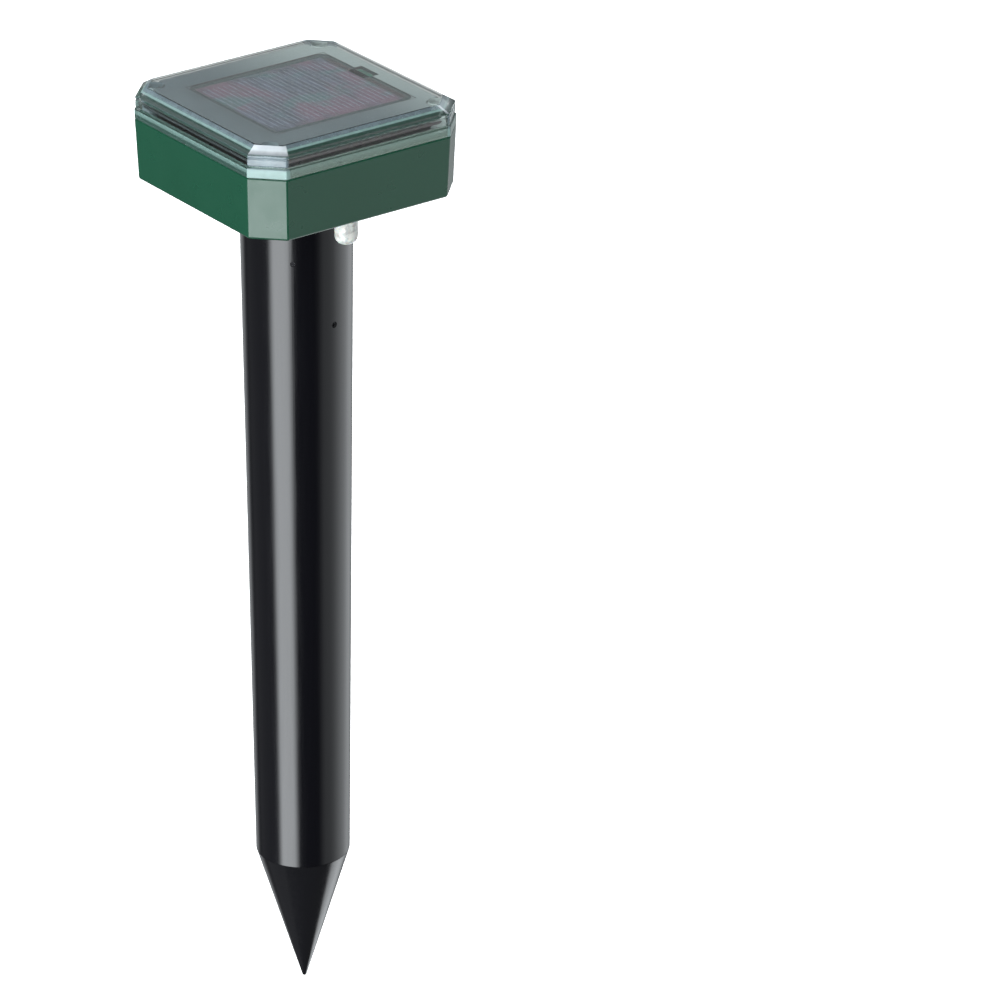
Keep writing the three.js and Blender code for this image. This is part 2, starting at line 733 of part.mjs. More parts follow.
function neckRing() {
  const profile = [];
  const steps = 6;
  for (let i = 0; i < steps; i += 1) {
    const angle = (2 * Math.PI * i) / steps;
    const r = O_RING_R + O_RING_WIRE_R * Math.cos(angle);
    const z = -O_RING_AT + O_RING_WIRE_R * Math.sin(angle);
    profile.push([r, z]);
  }
  return turnedRing(profile, 40);
}

// ---------------------------------------------------------------- speaker

function speaker() {
  const group = new THREE.Group();
  const top = SPEAKER_TOP;
  const rim = SPEAKER_RIM;

  const yoke = turned(
    [
      [0, top - 9.4],
      [3.6, top - 9.4],
      [3.6, top - 1.6],
      [11, top - 1.6],
      [11, top],
      [0, top],
    ],
    28,
  );
  group.add(named("speaker_yoke", yoke, "steel"));
  group.add(named("speaker_magnet", ringBetween(5.6, 10.6, top - 6.4, top - 1.9), "ferrite"));
  group.add(named("speaker_top_plate", ringBetween(5.3, 11, top - 8.2, top - 6.7), "steel"));

  const frame = solid(
    turnedRing(
      [
        [SPEAKER_R - 2.2, rim.bottom],
        [SPEAKER_R, rim.bottom],
        [SPEAKER_R, rim.top],
        [SPEAKER_R - 3, rim.top],
        [13.6, top - 8.5],
        [5.3, top - 8.5],
        [5.3, top - 9.6],
        [12.8, top - 9.6],
        [SPEAKER_R - 3.4, rim.top - 1.6],
        [SPEAKER_R - 2.2, rim.top - 3],
      ],
      28,
    ),
  );
  const windows = [45, 135, 225, 315].map((angle) => {
    const opening = block(7, 6, top - 13, top - 7);
    opening.translate(15, 0, 0);
    opening.rotateZ(THREE.MathUtils.degToRad(angle));
    return solid(opening);
  });
  const screwHoles = [0, 180].map((turn) => {
    const hole = rod(SPEAKER_SCREW.shankR + GAP, 0, 6, 8);
    const azimuth = SPEAKER_SCREW.azimuth + turn;
    return solid(pointInwards(hole, azimuth, SPEAKER_R + 1, -SPEAKER_SCREW.depth));
  });
  group.add(named("speaker_frame", geometryOf(cut(frame, ...windows, ...screwHoles)), "epoxy"));

  group.add(named("voice_coil", ringBetween(4.1, 4.8, top - 13.2, top - 4.5), "copper"));

  const apex = top - 13.6;
  const edge = rim.bottom + 3.4;
  const cone = turned(
    [
      [0, apex - 3.4],
      [3, apex - 2.8],
      [4.6, apex - 1],
      [CONE_R, edge - 0.6],
      [CONE_R, edge],
      [5.2, apex],
      [3, apex - 2],
      [0, apex - 2.8],
    ],
    28,
  );
  group.add(named("speaker_diaphragm", cone, "paper"));

  const roll = ringBetween(CONE_R + GAP, SPEAKER_R - 2.2 - GAP, edge - 1.3, edge + 0.6);
  group.add(named("speaker_surround", roll, "rubber"));
  return group;
}

function ringBetween(inner, outer, z0, z1, segments = 24) {
  return turnedRing(
    [
      [inner, z0],
      [outer, z0],
      [outer, z1],
      [inner, z1],
    ],
    segments,
  );
}

// ---------------------------------------------------------------- leads

function leads() {
  const group = new THREE.Group();
  const boardTop = BOARD.bottom + BOARD.thickness + GAP;
  const routes = {
    panel_lead_positive: { look: "red", y: 6.2, x: 40.5 },
    panel_lead_negative: { look: "black", y: 2.2, x: 40.5 },
  };
  for (const [name, { look, x, y }] of Object.entries(routes)) {
    const tab = PANEL_AT.x + PANEL.x / 2 + 1.2;
    const points = [
      [tab, y, TRAY_TOP - 1.4],
      [tab, y, TRAY_BOTTOM - 1],
      [tab + 3, y + 2, 24],
      [x + 2, y - 8, 18],
      [x + 1, y - 9, boardTop + 0.3],
    ];
    group.add(named(name, wire(points), look));
  }
  [
    ["battery_lead_positive", "red", BATTERY_X[2], -1, -8],
    ["battery_lead_negative", "black", BATTERY_X[0], 1, 20],
  ].forEach(([name, look, x, end, yBoard]) => {
    const y = end * (CELL_LENGTH / 2 + 0.95);
    const points = [
      [x, y, BATTERY_Z],
      [x + 1, y * 1.05, BATTERY_Z + 5],
      [(x + 10) / 2, (y + yBoard) / 2, 19.5],
      [10, yBoard, 15.5],
      [10.4, yBoard, boardTop + 0.3],
    ];
    group.add(named(name, wire(points), look));
  });
  [-2.6, 2.6].forEach((shift, i) => {
    const points = [
      [-shift, BUTTON_AT.y + shift, SWITCH_TOP + 0.4],
      [-shift + 1, BUTTON_AT.y + shift + 1, 17.5],
      [9 - shift, -25.5 + shift, 18.5],
      [16.5 - shift / 2, -23 + shift, 15.5],
      [17 - shift / 2, -22.3 + shift, boardTop + 0.3],
    ];
    group.add(named(`switch_lead_${i + 1}`, wire(points), "tan"));
  });
  [-1, 1].forEach((side, i) => {
    const points = [
      [10.6, side * 3, boardTop + 0.3],
      [9, side * 3, boardTop + 4],
      [4, side * 2.6, boardTop + 4],
      [2.4, side * 2.4, 5],
      [3, side * 2.6, -14],
      [11.6, side * 4, -34],
      [12.9, side * 4.4, SPEAKER_TOP - 8],
    ];
    const look = side < 0 ? "black" : "red";
    group.add(named(`speaker_lead_${i + 1}`, wire(points, WIRE_R, 18), look));
  });
  return group;
}

// ---------------------------------------------------------------- the whole object

const head = new THREE.Group();
head.position.z = HEAD_ABOVE_SOIL;
head.add(named("head_body", headBody(), "green"));
head.add(named("cover_seal", coverSeal(), "seal"));
head.add(named("clear_cover", clearCover(), "clear"));
head.add(named("panel_tray", panelTray(), "trim"));
head.add(solarPanel(), caseScrews(), circuitBoard(), battery(), pushButton(), leads());

const stake = new THREE.Group();
stake.position.z = HEAD_ABOVE_SOIL;
stake.add(named("stake_tube", stakeTube(), "black"));
stake.add(named("spike_tip", spikeTip(), "black"));
stake.add(named("neck_o_ring", neckRing(), "rubber"));
stake.add(...radialScrews("neck_screw", NECK_SCREW));
stake.add(...radialScrews("speaker_screw", SPEAKER_SCREW));
stake.add(speaker());

const repeller = new THREE.Group();
repeller.add(head, stake);

export default repeller;
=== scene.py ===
"""The looks of a solar garden stake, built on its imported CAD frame. Metres, +Z up, front -Y."""
import json
import math

import bmesh
import bpy
from mathutils import Matrix, Vector


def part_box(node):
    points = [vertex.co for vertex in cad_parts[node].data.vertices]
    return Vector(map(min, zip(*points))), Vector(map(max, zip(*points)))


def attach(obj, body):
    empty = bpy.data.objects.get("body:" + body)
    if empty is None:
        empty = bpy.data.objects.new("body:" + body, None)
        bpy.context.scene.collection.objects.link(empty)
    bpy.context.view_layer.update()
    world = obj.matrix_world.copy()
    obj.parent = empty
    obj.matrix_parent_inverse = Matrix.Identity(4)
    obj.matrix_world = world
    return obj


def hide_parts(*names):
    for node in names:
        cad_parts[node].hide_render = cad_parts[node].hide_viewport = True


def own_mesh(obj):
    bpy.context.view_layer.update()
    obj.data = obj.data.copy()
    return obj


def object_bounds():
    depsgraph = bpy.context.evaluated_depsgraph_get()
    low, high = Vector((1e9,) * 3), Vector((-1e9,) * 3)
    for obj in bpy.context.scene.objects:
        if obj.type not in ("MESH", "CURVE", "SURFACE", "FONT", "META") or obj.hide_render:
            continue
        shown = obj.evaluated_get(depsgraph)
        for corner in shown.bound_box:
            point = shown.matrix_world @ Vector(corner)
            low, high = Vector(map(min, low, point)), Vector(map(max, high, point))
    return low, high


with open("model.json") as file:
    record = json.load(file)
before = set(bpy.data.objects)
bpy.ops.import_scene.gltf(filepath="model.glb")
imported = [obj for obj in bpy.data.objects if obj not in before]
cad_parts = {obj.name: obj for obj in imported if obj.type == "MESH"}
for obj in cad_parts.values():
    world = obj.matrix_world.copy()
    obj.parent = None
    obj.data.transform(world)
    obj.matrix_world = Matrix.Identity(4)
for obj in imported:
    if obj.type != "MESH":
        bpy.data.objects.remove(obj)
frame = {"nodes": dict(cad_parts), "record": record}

MM = 0.001
CAD_LOW, CAD_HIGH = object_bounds()

# ---------------------------------------------------------------- camera
VIEW_AZIMUTH = math.radians(-37.3)
VIEW_ELEVATION = math.radians(25.5)
VIEW_ROLL = math.radians(-0.46)
VIEW_DISTANCE = 2.10
LENS_MM = 185.6
AIM_HEIGHT = -0.115
AIM_ASIDE = 0.0817  # the camera looks past the object's right side, so it stands left of centre
AIM_ABOVE = 0.0009
NEAREST, FURTHEST = 0.05, 50


def make_camera():
    a, e, r = VIEW_AZIMUTH, VIEW_ELEVATION, VIEW_ROLL
    back = Vector((math.sin(a) * math.cos(e), -math.cos(a) * math.cos(e), math.sin(e)))
    right = Vector((math.cos(a), math.sin(a), 0))
    up = back.cross(right)
    aim = Vector((0, 0, AIM_HEIGHT)) + right * AIM_ASIDE + up * AIM_ABOVE
    across = right * math.cos(r) - up * math.sin(r)
    upright = right * math.sin(r) + up * math.cos(r)
    turn = Matrix((across, upright, back)).transposed().to_4x4()
    camera = bpy.data.objects.new("camera", bpy.data.cameras.new("camera"))
    bpy.context.scene.collection.objects.link(camera)
    camera.matrix_world = Matrix.Translation(aim + back * VIEW_DISTANCE) @ turn
    camera.data.lens = LENS_MM
    camera.data.clip_start = NEAREST
    camera.data.clip_end = FURTHEST
    bpy.context.scene.camera = camera


# ---------------------------------------------------------------- node trees
class Nodes:
    """Short words for building one node tree."""

    def __init__(self, tree):
        self.tree = tree
        tree.nodes.clear()

    def feed(self, socket, value):
        if isinstance(value, bpy.types.NodeSocket):
            self.tree.links.new(value, socket)
        else:
            socket.default_value = value

    def node(self, kind, inputs=None, **settings):
        made = self.tree.nodes.new("ShaderNode" + kind)
        for name, value in settings.items():
            setattr(made, name, value)
        for name, value in (inputs or {}).items():
            self.feed(made.inputs[name], value)
        return made

    def math(self, operation, a, b=0.0):
        return self.node("Math", {0: a, 1: b}, operation=operation).outputs[0]

    def product(self, value, *factors):
        for factor in factors:
            value = self.math("MULTIPLY", value, factor)
        return value

    def vector(self, operation, a, b=(0, 0, 0)):
        made = self.node("VectorMath", {0: a, 1: b}, operation=operation)
        return made.outputs["Value" if operation == "LENGTH" else "Vector"]

    def parts(self, vector):
        """A vector's X, Y and Z."""
        return self.node("SeparateXYZ", {0: vector}).outputs

    def smooth(self, value, low, high, to_low=0.0, to_high=1.0):
        """value mapped from low..high to to_low..to_high with soft ends."""
        inputs = {"Value": value, 1: low, 2: high, 3: to_low, 4: to_high}
        return self.node("MapRange", inputs, interpolation_type="SMOOTHSTEP").outputs[0]

    def fade(self, value, low, high, to_high=0.0):
        """1 up to low, and to_high from high on."""
        return self.smooth(value, low, high, 1.0, to_high)

    def mix(self, factor, a, b):
        """Two colours mixed."""
        made = self.node("Mix", data_type="RGBA")
        self.feed(made.inputs["Factor"], factor)
        self.feed(made.inputs[6], a)
        self.feed(made.inputs[7], b)
        return made.outputs[2]

    def mix_shaders(self, factor, a, b):
        return self.node("MixShader", {0: factor, 1: a.outputs[0], 2: b.outputs[0]})

    def noise(self, where, scale, detail=3.0, roughness=0.5):
        inputs = {"Vector": where, "Scale": scale, "Detail": detail, "Roughness": roughness}
        return self.node("TexNoise", inputs).outputs["Fac"]

    def stretched(self, where, factors):
        return self.vector("MULTIPLY", where, factors)

    def bump(self, height, strength, distance, normal=None):
        inputs = {"Height": height, "Strength": strength, "Distance": distance}
        if normal is not None:
            inputs["Normal"] = normal
        return self.node("Bump", inputs).outputs["Normal"]


def rgb(r, g, b):
    """A colour given as sRGB 0..255, as linear."""
    def linear(value):
        value /= 255
        return value / 12.92 if value <= 0.04045 else ((value + 0.055) / 1.055) ** 2.4
    return (linear(r), linear(g), linear(b), 1.0)


WHITE = rgb(255, 255, 255)


def scaled(colour, factor):
    return tuple(min(1.0, c * factor) for c in colour[:3]) + (colour[3],)


def new_material(name):
    material = bpy.data.materials.new(name)
    material.use_nodes = True
    nodes = Nodes(material.node_tree)
    output = nodes.node("OutputMaterial")
    where = nodes.node("TexCoord").outputs["Object"]
    return material, nodes, output, where


def show(nodes, output, shader):
    nodes.tree.links.new(shader.outputs[0], output.inputs["Surface"])


def principled(nodes, output, **inputs):
    sockets = {name.replace("_", " "): value for name, value in inputs.items()}
    show(nodes, output, nodes.node("BsdfPrincipled", sockets))


# ---------------------------------------------------------------- materials of the head and stake
def green_plastic():
    """The head's green: a light satin grain, with edges and corners a little paler as a painted
    highlight.
    """
    material, nodes, output, where = new_material("green_plastic")
    colour = rgb(6, 52, 35)
    drift = nodes.noise(where, 30, 3)
    base = nodes.mix(drift, scaled(colour, 0.88), scaled(colour, 1.1))
    edge = nodes.node("NewGeometry").outputs["Pointiness"]
    # painted highlight: edges and corners turn paler green
    edge_highlight = nodes.smooth(edge, 0.52, 0.6)
    base = nodes.mix(nodes.product(edge_highlight, 0.3), base, rgb(50, 104, 82))
    gloss = nodes.smooth(nodes.noise(where, 120, 2), 0.3, 0.7, 0.27, 0.34)
    grain = nodes.bump(nodes.noise(where, 520, 1), 0.12, 0.00008)
    principled(nodes, output, Base_Color=base, Roughness=gloss, Normal=grain)
    return material


def glossy_black():
    """The tube's black: polished, with faint lines drawn along it, a soft ripple and fine dust."""
    material, nodes, output, where = new_material("glossy_black")
    drawn = nodes.noise(nodes.stretched(where, (1, 1, 0.03)), 900, 3)
    ripple = nodes.noise(nodes.stretched(where, (1, 1, 0.4)), 40, 2)
    dust = nodes.smooth(nodes.noise(where, 700, 5, 0.7), 0.62, 0.8)
    base = nodes.mix(dust, rgb(5, 5, 8), rgb(12, 12, 15))
    gloss = nodes.smooth(drawn, 0.3, 0.7, 0.15, 0.2)
    normal = nodes.bump(drawn, 0.04, 0.00003)
    normal = nodes.bump(ripple, 0.12, 0.0003, normal)
    principled(nodes, output, Base_Color=base, Roughness=gloss, Normal=normal,
               Specular_IOR_Level=0.42)
    return material


def clear_plastic(name, tint, edge_tint, roughness, ior, painted_overlay=None):
    """Clear moulded plastic, darker where it is seen edge-on, that lets lamp light through.

    The overlay, where one is given, lays painted light and shade over the clear shader.
    """
    material, nodes, output, where = new_material(name)
    steep = nodes.smooth(nodes.node("LayerWeight", {"Blend": 0.5}).outputs["Facing"], 0.6, 1.0)
    haze = nodes.smooth(nodes.noise(where, 220, 3), 0.35, 0.7, roughness, roughness + 0.03)
    body = nodes.node("BsdfPrincipled", {
        "Base Color": nodes.mix(steep, tint, edge_tint),
        "Roughness": haze,
        "IOR": ior,
        "Transmission Weight": 1.0,
        "Normal": nodes.bump(nodes.noise(where, 60, 2), 0.015, 0.0002),
    })
    if painted_overlay:
        body = painted_overlay(nodes, where, body)
    open_way = nodes.node("BsdfTransparent", {"Color": tint})
    shadow = nodes.node("LightPath").outputs["Is Shadow Ray"]
    show(nodes, output, nodes.mix_shaders(shadow, body, open_way))
    return material


# ---------------------------------------------------------------- the cover's painted light and shade
BAND_BLUR = 0.0001  # half the height over which a band fades in or out
PAINTED_BANDS = (
    # lowest, highest, colour, colour at the left (painted for how light falls on that side), share
    (0.0509, 0.0529, rgb(98, 116, 106), rgb(40, 63, 57), 0.6),  # lip; its darker colour at the left is painted shade
    (0.0529, 0.0545, rgb(104, 124, 116), rgb(96, 120, 115), 0.6),  # line above the lip: painted highlight
    (0.0546, 0.0550, rgb(30, 44, 38), rgb(12, 26, 24), 0.6),  # ledge: painted shade under the step
    (0.0599, 0.0602, rgb(40, 66, 60), rgb(60, 84, 84), 0.4),  # edge at the bevel's foot: painted shadow line
    (0.0602, 0.0613, rgb(22, 50, 42), rgb(44, 72, 70), 0.65),  # lower part of the bevel: painted shade
    (0.0614, 0.0620, rgb(122, 148, 144), rgb(150, 166, 170), 0.7),  # pale line along the bevel: painted highlight
    (0.0620, 0.06295, rgb(106, 122, 128), rgb(122, 134, 142), 0.65),  # rim below the top: painted highlight
)
PLATE_LOW, PLATE_CLEAR = 0.0570, 0.0580  # level faces turn from painted bands to clear between these
BEVEL_FOOT = 0.0601
BEVEL_RATE = 2.25  # how fast |x| + |y| shrinks up the bevel
TOP_LOW, TOP_CLEAR = 0.0627, 0.0630  # the painted corner highlights end between these heights
POST_AT = 0.0396  # the screw posts, along X and along Y
POST_REACH = 0.0037
POST_LOW, POST_CLEAR = 0.0603, 0.0606  # the milky posts end between these heights
CORNER_REACH = 0.08845  # |x| + |y| on the cut corners, below the bevel
CORNER_START, CORNER_FULL = -0.0014, -0.0006  # from that reach: the painted highlight grows in between
WALL_TURN = (0.0535, 0.0555)  # heights between which a corner's wall changes colour
BEVEL_TURN = (0.0602, 0.0618)  # heights between which its bevel does
WALL_TO_BEVEL = (0.0602, 0.0604)  # heights between which one colour gives way to the other
FOOT_LINE = (0.0001, 0.0004)  # distance from the bevel's foot within which corners are clearer


def painted_bands(nodes, place, normal):
    """Each painted band's colour and share: lines of painted highlight and shade by height, with
    their own colours on faces that look left. The level faces of the top plate stay clear.
    """
    # painted light: faces that look left take each band's left colour
    leftward = nodes.fade(normal[0], -0.75, -0.45)
    level = nodes.smooth(nodes.math("ABSOLUTE", normal[2]), 0.93, 0.98)
    level = nodes.product(level, nodes.smooth(place[2], PLATE_LOW, PLATE_CLEAR))
    banded = nodes.math("SUBTRACT", 1.0, level)
    for lowest, highest, colour, left_colour, share in PAINTED_BANDS:
        above = nodes.smooth(place[2], lowest - BAND_BLUR, lowest + BAND_BLUR, 0.0, share)
        below = nodes.fade(place[2], highest - BAND_BLUR, highest + BAND_BLUR)
        yield nodes.mix(leftward, colour, left_colour), nodes.product(above, below, banded)


def milky_posts_and_light(nodes, place, spread):
    """The posts' milky colour, paler to the right as painted light, and their share."""
    from_post = nodes.node("CombineXYZ", {0: nodes.math("SUBTRACT", spread[0], POST_AT),
                                          1: nodes.math("SUBTRACT", spread[1], POST_AT)})
    from_post = nodes.vector("LENGTH", from_post.outputs[0])
    share = nodes.product(nodes.smooth(from_post, POST_REACH, POST_REACH + BAND_BLUR, 0.96, 0.0),
                          nodes.fade(place[2], POST_LOW, POST_CLEAR))
    # painted light: the posts grow paler to the right
    rightward = nodes.smooth(place[0], -0.02, 0.02)
    return nodes.mix(rightward, rgb(84, 94, 98), rgb(176, 184, 182)), share


def corner_highlights(nodes, place, spread, normal):
    """The colour and share of the painted highlight on the cut corners that look to the front."""
    rise = nodes.math("MAXIMUM", nodes.math("SUBTRACT", place[2], BEVEL_FOOT), 0.0)
    reach = nodes.math("SUBTRACT", CORNER_REACH, nodes.product(rise, BEVEL_RATE))
    past = nodes.math("SUBTRACT", nodes.math("ADD", spread[0], spread[1]), reach)
    from_foot = nodes.math("ABSOLUTE", nodes.math("SUBTRACT", place[2], BEVEL_FOOT))
    # painted highlight: only faces that look to the front turn pale, palest up the bevel
    share = nodes.product(
        nodes.smooth(past, CORNER_START, CORNER_FULL, 0.0, 0.88),
        nodes.fade(place[2], TOP_LOW, TOP_CLEAR),
        nodes.fade(normal[1], -0.4, -0.2),
        nodes.fade(normal[0], 0.1, 0.3, 0.3),
        nodes.smooth(from_foot, *FOOT_LINE, 0.35, 1.0),
    )
    wall = nodes.mix(nodes.smooth(place[2], *WALL_TURN), rgb(104, 130, 126),
                     rgb(88, 102, 108))
    bevel = nodes.mix(nodes.smooth(place[2], *BEVEL_TURN), rgb(132, 136, 140),
                      rgb(196, 200, 204))
    return nodes.mix(nodes.smooth(place[2], *WALL_TO_BEVEL), wall, bevel), share


def cover_painted_layers(nodes, where, body):
    """Layers over the clear shader: bands of painted highlight and shade by height, then the milky
    posts, paler to the right as painted light, then the painted highlight on the corners.
    """
    mottle = nodes.smooth(nodes.noise(where, 260, 4), 0.3, 0.7, 0.8, 1.0)
    rough_skin = nodes.bump(nodes.noise(where, 3000, 2), 0.4, 0.00004)
    place = nodes.parts(where)
    spread = nodes.parts(nodes.vector("ABSOLUTE", where))
    normal = nodes.parts(nodes.node("NewGeometry").outputs["True Normal"])
    layers = list(painted_bands(nodes, place, normal))
    layers.append(milky_posts_and_light(nodes, place, spread))
    layers.append(corner_highlights(nodes, place, spread, normal))
    for colour, share in layers:
        layer = nodes.node("BsdfPrincipled", {"Base Color": colour, "Roughness": 0.32,
                                              "Normal": rough_skin})
        body = nodes.mix_shaders(nodes.product(share, mottle), body, layer)
    return body


# ---------------------------------------------------------------- materials under the cover
TRAY_FADE = (-0.01, 0.058)  # painted light: the tray's top grows pale between these, from left to right


def tray_plastic():
    """The tray's plastic, coloured by facing as painted light and shade: grey on top and paler to
    the right, dark green on its slope, and brown-grey at its sides, darker on the left.
    """
    material, nodes, output, where = new_material("tray_plastic")
    normal = nodes.parts(nodes.node("NewGeometry").outputs["True Normal"])
    drift = nodes.noise(where, 60, 3)
    place = nodes.parts(where)
    # painted light: the top grows paler to the right
    rightward = nodes.math("ADD", place[0], nodes.product(place[1], 0.3))
    top = nodes.mix(drift, rgb(62, 74, 80), rgb(76, 88, 92))
    top = nodes.mix(nodes.smooth(rightward, *TRAY_FADE), top, rgb(146, 154, 152))
    side = nodes.mix(drift, rgb(52, 48, 48), rgb(72, 66, 66))
    # painted shade: sides that look left are darker
    side = nodes.mix(nodes.fade(normal[0], -0.6, -0.3), side, rgb(22, 30, 30))
    slope = nodes.mix(drift, rgb(8, 36, 28), rgb(16, 50, 40))
    # painted light and shade by facing: the top paler, the slope and sides darker
    base = nodes.mix(nodes.smooth(normal[2], 0.25, 0.45), side, slope)
    base = nodes.mix(nodes.smooth(normal[2], 0.8, 0.95), base, top)
    gloss = nodes.smooth(drift, 0.3, 0.7, 0.45, 0.6)
    grain = nodes.bump(nodes.noise(where, 2400, 2), 0.4, 0.00005)
    principled(nodes, output, Base_Color=base, Roughness=gloss, Normal=grain)
    return material


def solar_cell():
    """Silicon: blue-grey crystals with mauve and teal patches from the coating."""
    material, nodes, output, where = new_material("solar_cell")
    cells = nodes.node("TexVoronoi", {"Vector": where, "Scale": 420.0}).outputs["Color"]
    shade_of_cell = nodes.node("SeparateColor", {0: cells}).outputs[0]
    base = nodes.mix(shade_of_cell, rgb(56, 60, 72), rgb(78, 84, 100))
    streaks = nodes.noise(nodes.stretched(where, (1.0, 0.12, 0.0)), 420, 3)
    base = nodes.mix(nodes.smooth(streaks, 0.45, 0.62, 0.0, 0.6), base, rgb(104, 108, 128))
    warm = nodes.smooth(nodes.noise(nodes.stretched(where, (1.0, 0.5, 0.0)), 48, 3), 0.44, 0.6)
    base = nodes.mix(nodes.product(warm, 0.8), base, rgb(120, 80, 98))
    cool = nodes.smooth(nodes.noise(nodes.stretched(where, (0.6, 1.0, 0.0)), 62, 3), 0.5, 0.64)
    base = nodes.mix(nodes.product(cool, 0.75), base, rgb(56, 108, 104))
    gloss = nodes.smooth(shade_of_cell, 0, 1, 0.3, 0.45)
    principled(nodes, output, Base_Color=base, Roughness=gloss, Metallic=0.2)
    return material


def silver_paste():
    """Printed conductor: pale, dull and slightly broken along its length."""
    material, nodes, output, where = new_material("silver_paste")
    broken = nodes.smooth(nodes.noise(where, 900, 4), 0.35, 0.6)
    base = nodes.mix(broken, rgb(104, 106, 120), rgb(160, 164, 180))
    principled(nodes, output, Base_Color=base, Roughness=0.5, Metallic=0.3,
               Normal=nodes.bump(broken, 0.4, 0.00002))
    return material


def tab_metal():
    """Oxidised copper tabs, brown-grey and blotchy."""
    material, nodes, output, where = new_material("tab_metal")
    blotch = nodes.smooth(nodes.noise(where, 420, 4), 0.35, 0.65)
    base = nodes.mix(blotch, rgb(46, 32, 34), rgb(82, 62, 60))
    principled(nodes, output, Base_Color=base, Roughness=0.5, Metallic=0.4,
               Normal=nodes.bump(blotch, 0.3, 0.00002))
    return material


def sealant():
    """Soft green sealant, with small bubbles."""
    material, nodes, output, where = new_material("sealant")
    bubbles = nodes.smooth(nodes.noise(where, 1400, 2), 0.6, 0.72)
    base = nodes.mix(bubbles, rgb(52, 98, 84), rgb(30, 66, 56))
    principled(nodes, output, Base_Color=base, Roughness=0.38,
               Normal=nodes.bump(bubbles, 0.6, 0.00006))
    return material


# ---------------------------------------------------------------- other materials
def moulded(name, colour, roughness, grain=0.5):
    """Moulded plastic: a fine grain, slow colour drift and uneven gloss."""
    material, nodes, output, where = new_material(name)
    drift = nodes.noise(where, 45, 2)
    base = nodes.mix(drift, scaled(colour, 0.88), scaled(colour, 1.12))
    gloss = nodes.smooth(nodes.noise(where, 160, 4), 0.3, 0.7, roughness - 0.05, roughness + 0.06)
    normal = nodes.bump(nodes.noise(where, 3500, 2), grain, 0.00004)
    principled(nodes, output, Base_Color=base, Roughness=gloss, Normal=normal)
    return material


def rubber(name, colour, roughness):
    material, nodes, output, where = new_material(name)
    drift = nodes.noise(where, 300, 3)
    base = nodes.mix(drift, scaled(colour, 0.9), scaled(colour, 1.08))
    fine = nodes.bump(nodes.noise(where, 5000, 3), 0.4, 0.00003)
    gloss = nodes.smooth(drift, 0.3, 0.7, roughness - 0.06, roughness + 0.08)
    principled(nodes, output, Base_Color=base, Roughness=gloss, Normal=fine)
    return material


def mottled_rubber(name, light, dark):
    """Milky silicone: pale, with darker clouds inside and a soft skin."""
    material, nodes, output, where = new_material(name)
    clouds = nodes.smooth(nodes.noise(where, 520, 3), 0.4, 0.66)
    base = nodes.mix(clouds, light, dark)
    skin = nodes.bump(nodes.noise(where, 4200, 2), 0.3, 0.00003)
    skin = nodes.bump(clouds, 0.12, 0.0002, skin)
    principled(nodes, output, Base_Color=base, Roughness=0.36, Normal=skin,
               Subsurface_Weight=0.2, Subsurface_Scale=0.002)
    return material


def metal(name, colour, roughness=0.3, line=(1, 1, 0.1)):
    """Brushed, lightly stained metal. The smallest number in line is along the brushing."""
    material, nodes, output, where = new_material(name)
    brushed = nodes.noise(nodes.stretched(where, line), 5000, 3)
    stain = nodes.smooth(nodes.noise(where, 350, 4), 0.45, 0.75)
    base = nodes.mix(stain, colour, scaled(colour, 0.62))
    gloss = nodes.smooth(brushed, 0.3, 0.7, roughness - 0.08, roughness + 0.12)
    normal = nodes.bump(brushed, 0.25, 0.00002)
    principled(nodes, output, Base_Color=base, Roughness=gloss, Metallic=1.0, Normal=normal)
    return material


def circuit_green():
    """Lacquered board: copper tracks show as paler, slightly raised lines."""
    material, nodes, output, where = new_material("circuit_green")
    grid = nodes.node("TexBrick", {
        "Vector": where, "Scale": 160.0, "Mortar Size": 0.09, "Mortar Smooth": 0.3,
        "Brick Width": 0.9, "Row Height": 0.35,
    }).outputs["Fac"]
    patch = nodes.smooth(nodes.noise(where, 70, 2), 0.45, 0.5)
    track = nodes.product(grid, patch)
    base = nodes.mix(track, rgb(14, 62, 34), rgb(38, 104, 60))
    principled(nodes, output, Base_Color=base, Roughness=0.35,
               Normal=nodes.bump(track, 0.5, 0.00005))
    return material


def wound_copper():
    material, nodes, output, where = new_material("wound_copper")
    turns = nodes.node("TexWave", {"Vector": where, "Scale": 900.0, "Distortion": 0.4},
                       bands_direction="Z").outputs["Fac"]
    base = nodes.mix(turns, rgb(92, 44, 20), rgb(196, 116, 62))
    principled(nodes, output, Base_Color=base, Roughness=0.3, Metallic=0.9,
               Normal=nodes.bump(turns, 0.6, 0.00008))
    return material


SLEEVE_BAND = (0.012, 0.018)  # along Y
SLEEVE_BLUR = 0.0002


def battery_sleeve():
    """Plain shrink sleeve: green, with a pale band near one end."""
    material, nodes, output, where = new_material("battery_sleeve")
    along = nodes.parts(where)[1]
    start, end = SLEEVE_BAND
    band = nodes.product(nodes.smooth(along, start - SLEEVE_BLUR, start + SLEEVE_BLUR),
                         nodes.fade(along, end - SLEEVE_BLUR, end + SLEEVE_BLUR))
    base = nodes.mix(band, rgb(24, 96, 58), rgb(206, 208, 200))
    wrinkle = nodes.noise(nodes.stretched(where, (1, 0.2, 1)), 700, 3)
    principled(nodes, output, Base_Color=base, Roughness=0.32,
               Normal=nodes.bump(wrinkle, 0.3, 0.0001))
    return material


def studio_floor():
    """Near white floor, bright enough to merge with the backdrop, and open from below."""
    material, nodes, output, where = new_material("studio_floor")
    speckle = nodes.smooth(nodes.noise(where, 40, 4), 0.3, 0.7, 0.86, 0.92)
    lit = nodes.node("BsdfDiffuse", {"Color": speckle})
    glow = nodes.node("Emission", {"Color": WHITE, "Strength": 0.8})
    above = nodes.node("AddShader", {0: lit.outputs[0], 1: glow.outputs[0]})
    below = nodes.node("BsdfTransparent")
    back = nodes.node("NewGeometry").outputs["Backfacing"]
    show(nodes, output, nodes.mix_shaders(back, above, below))
    return material


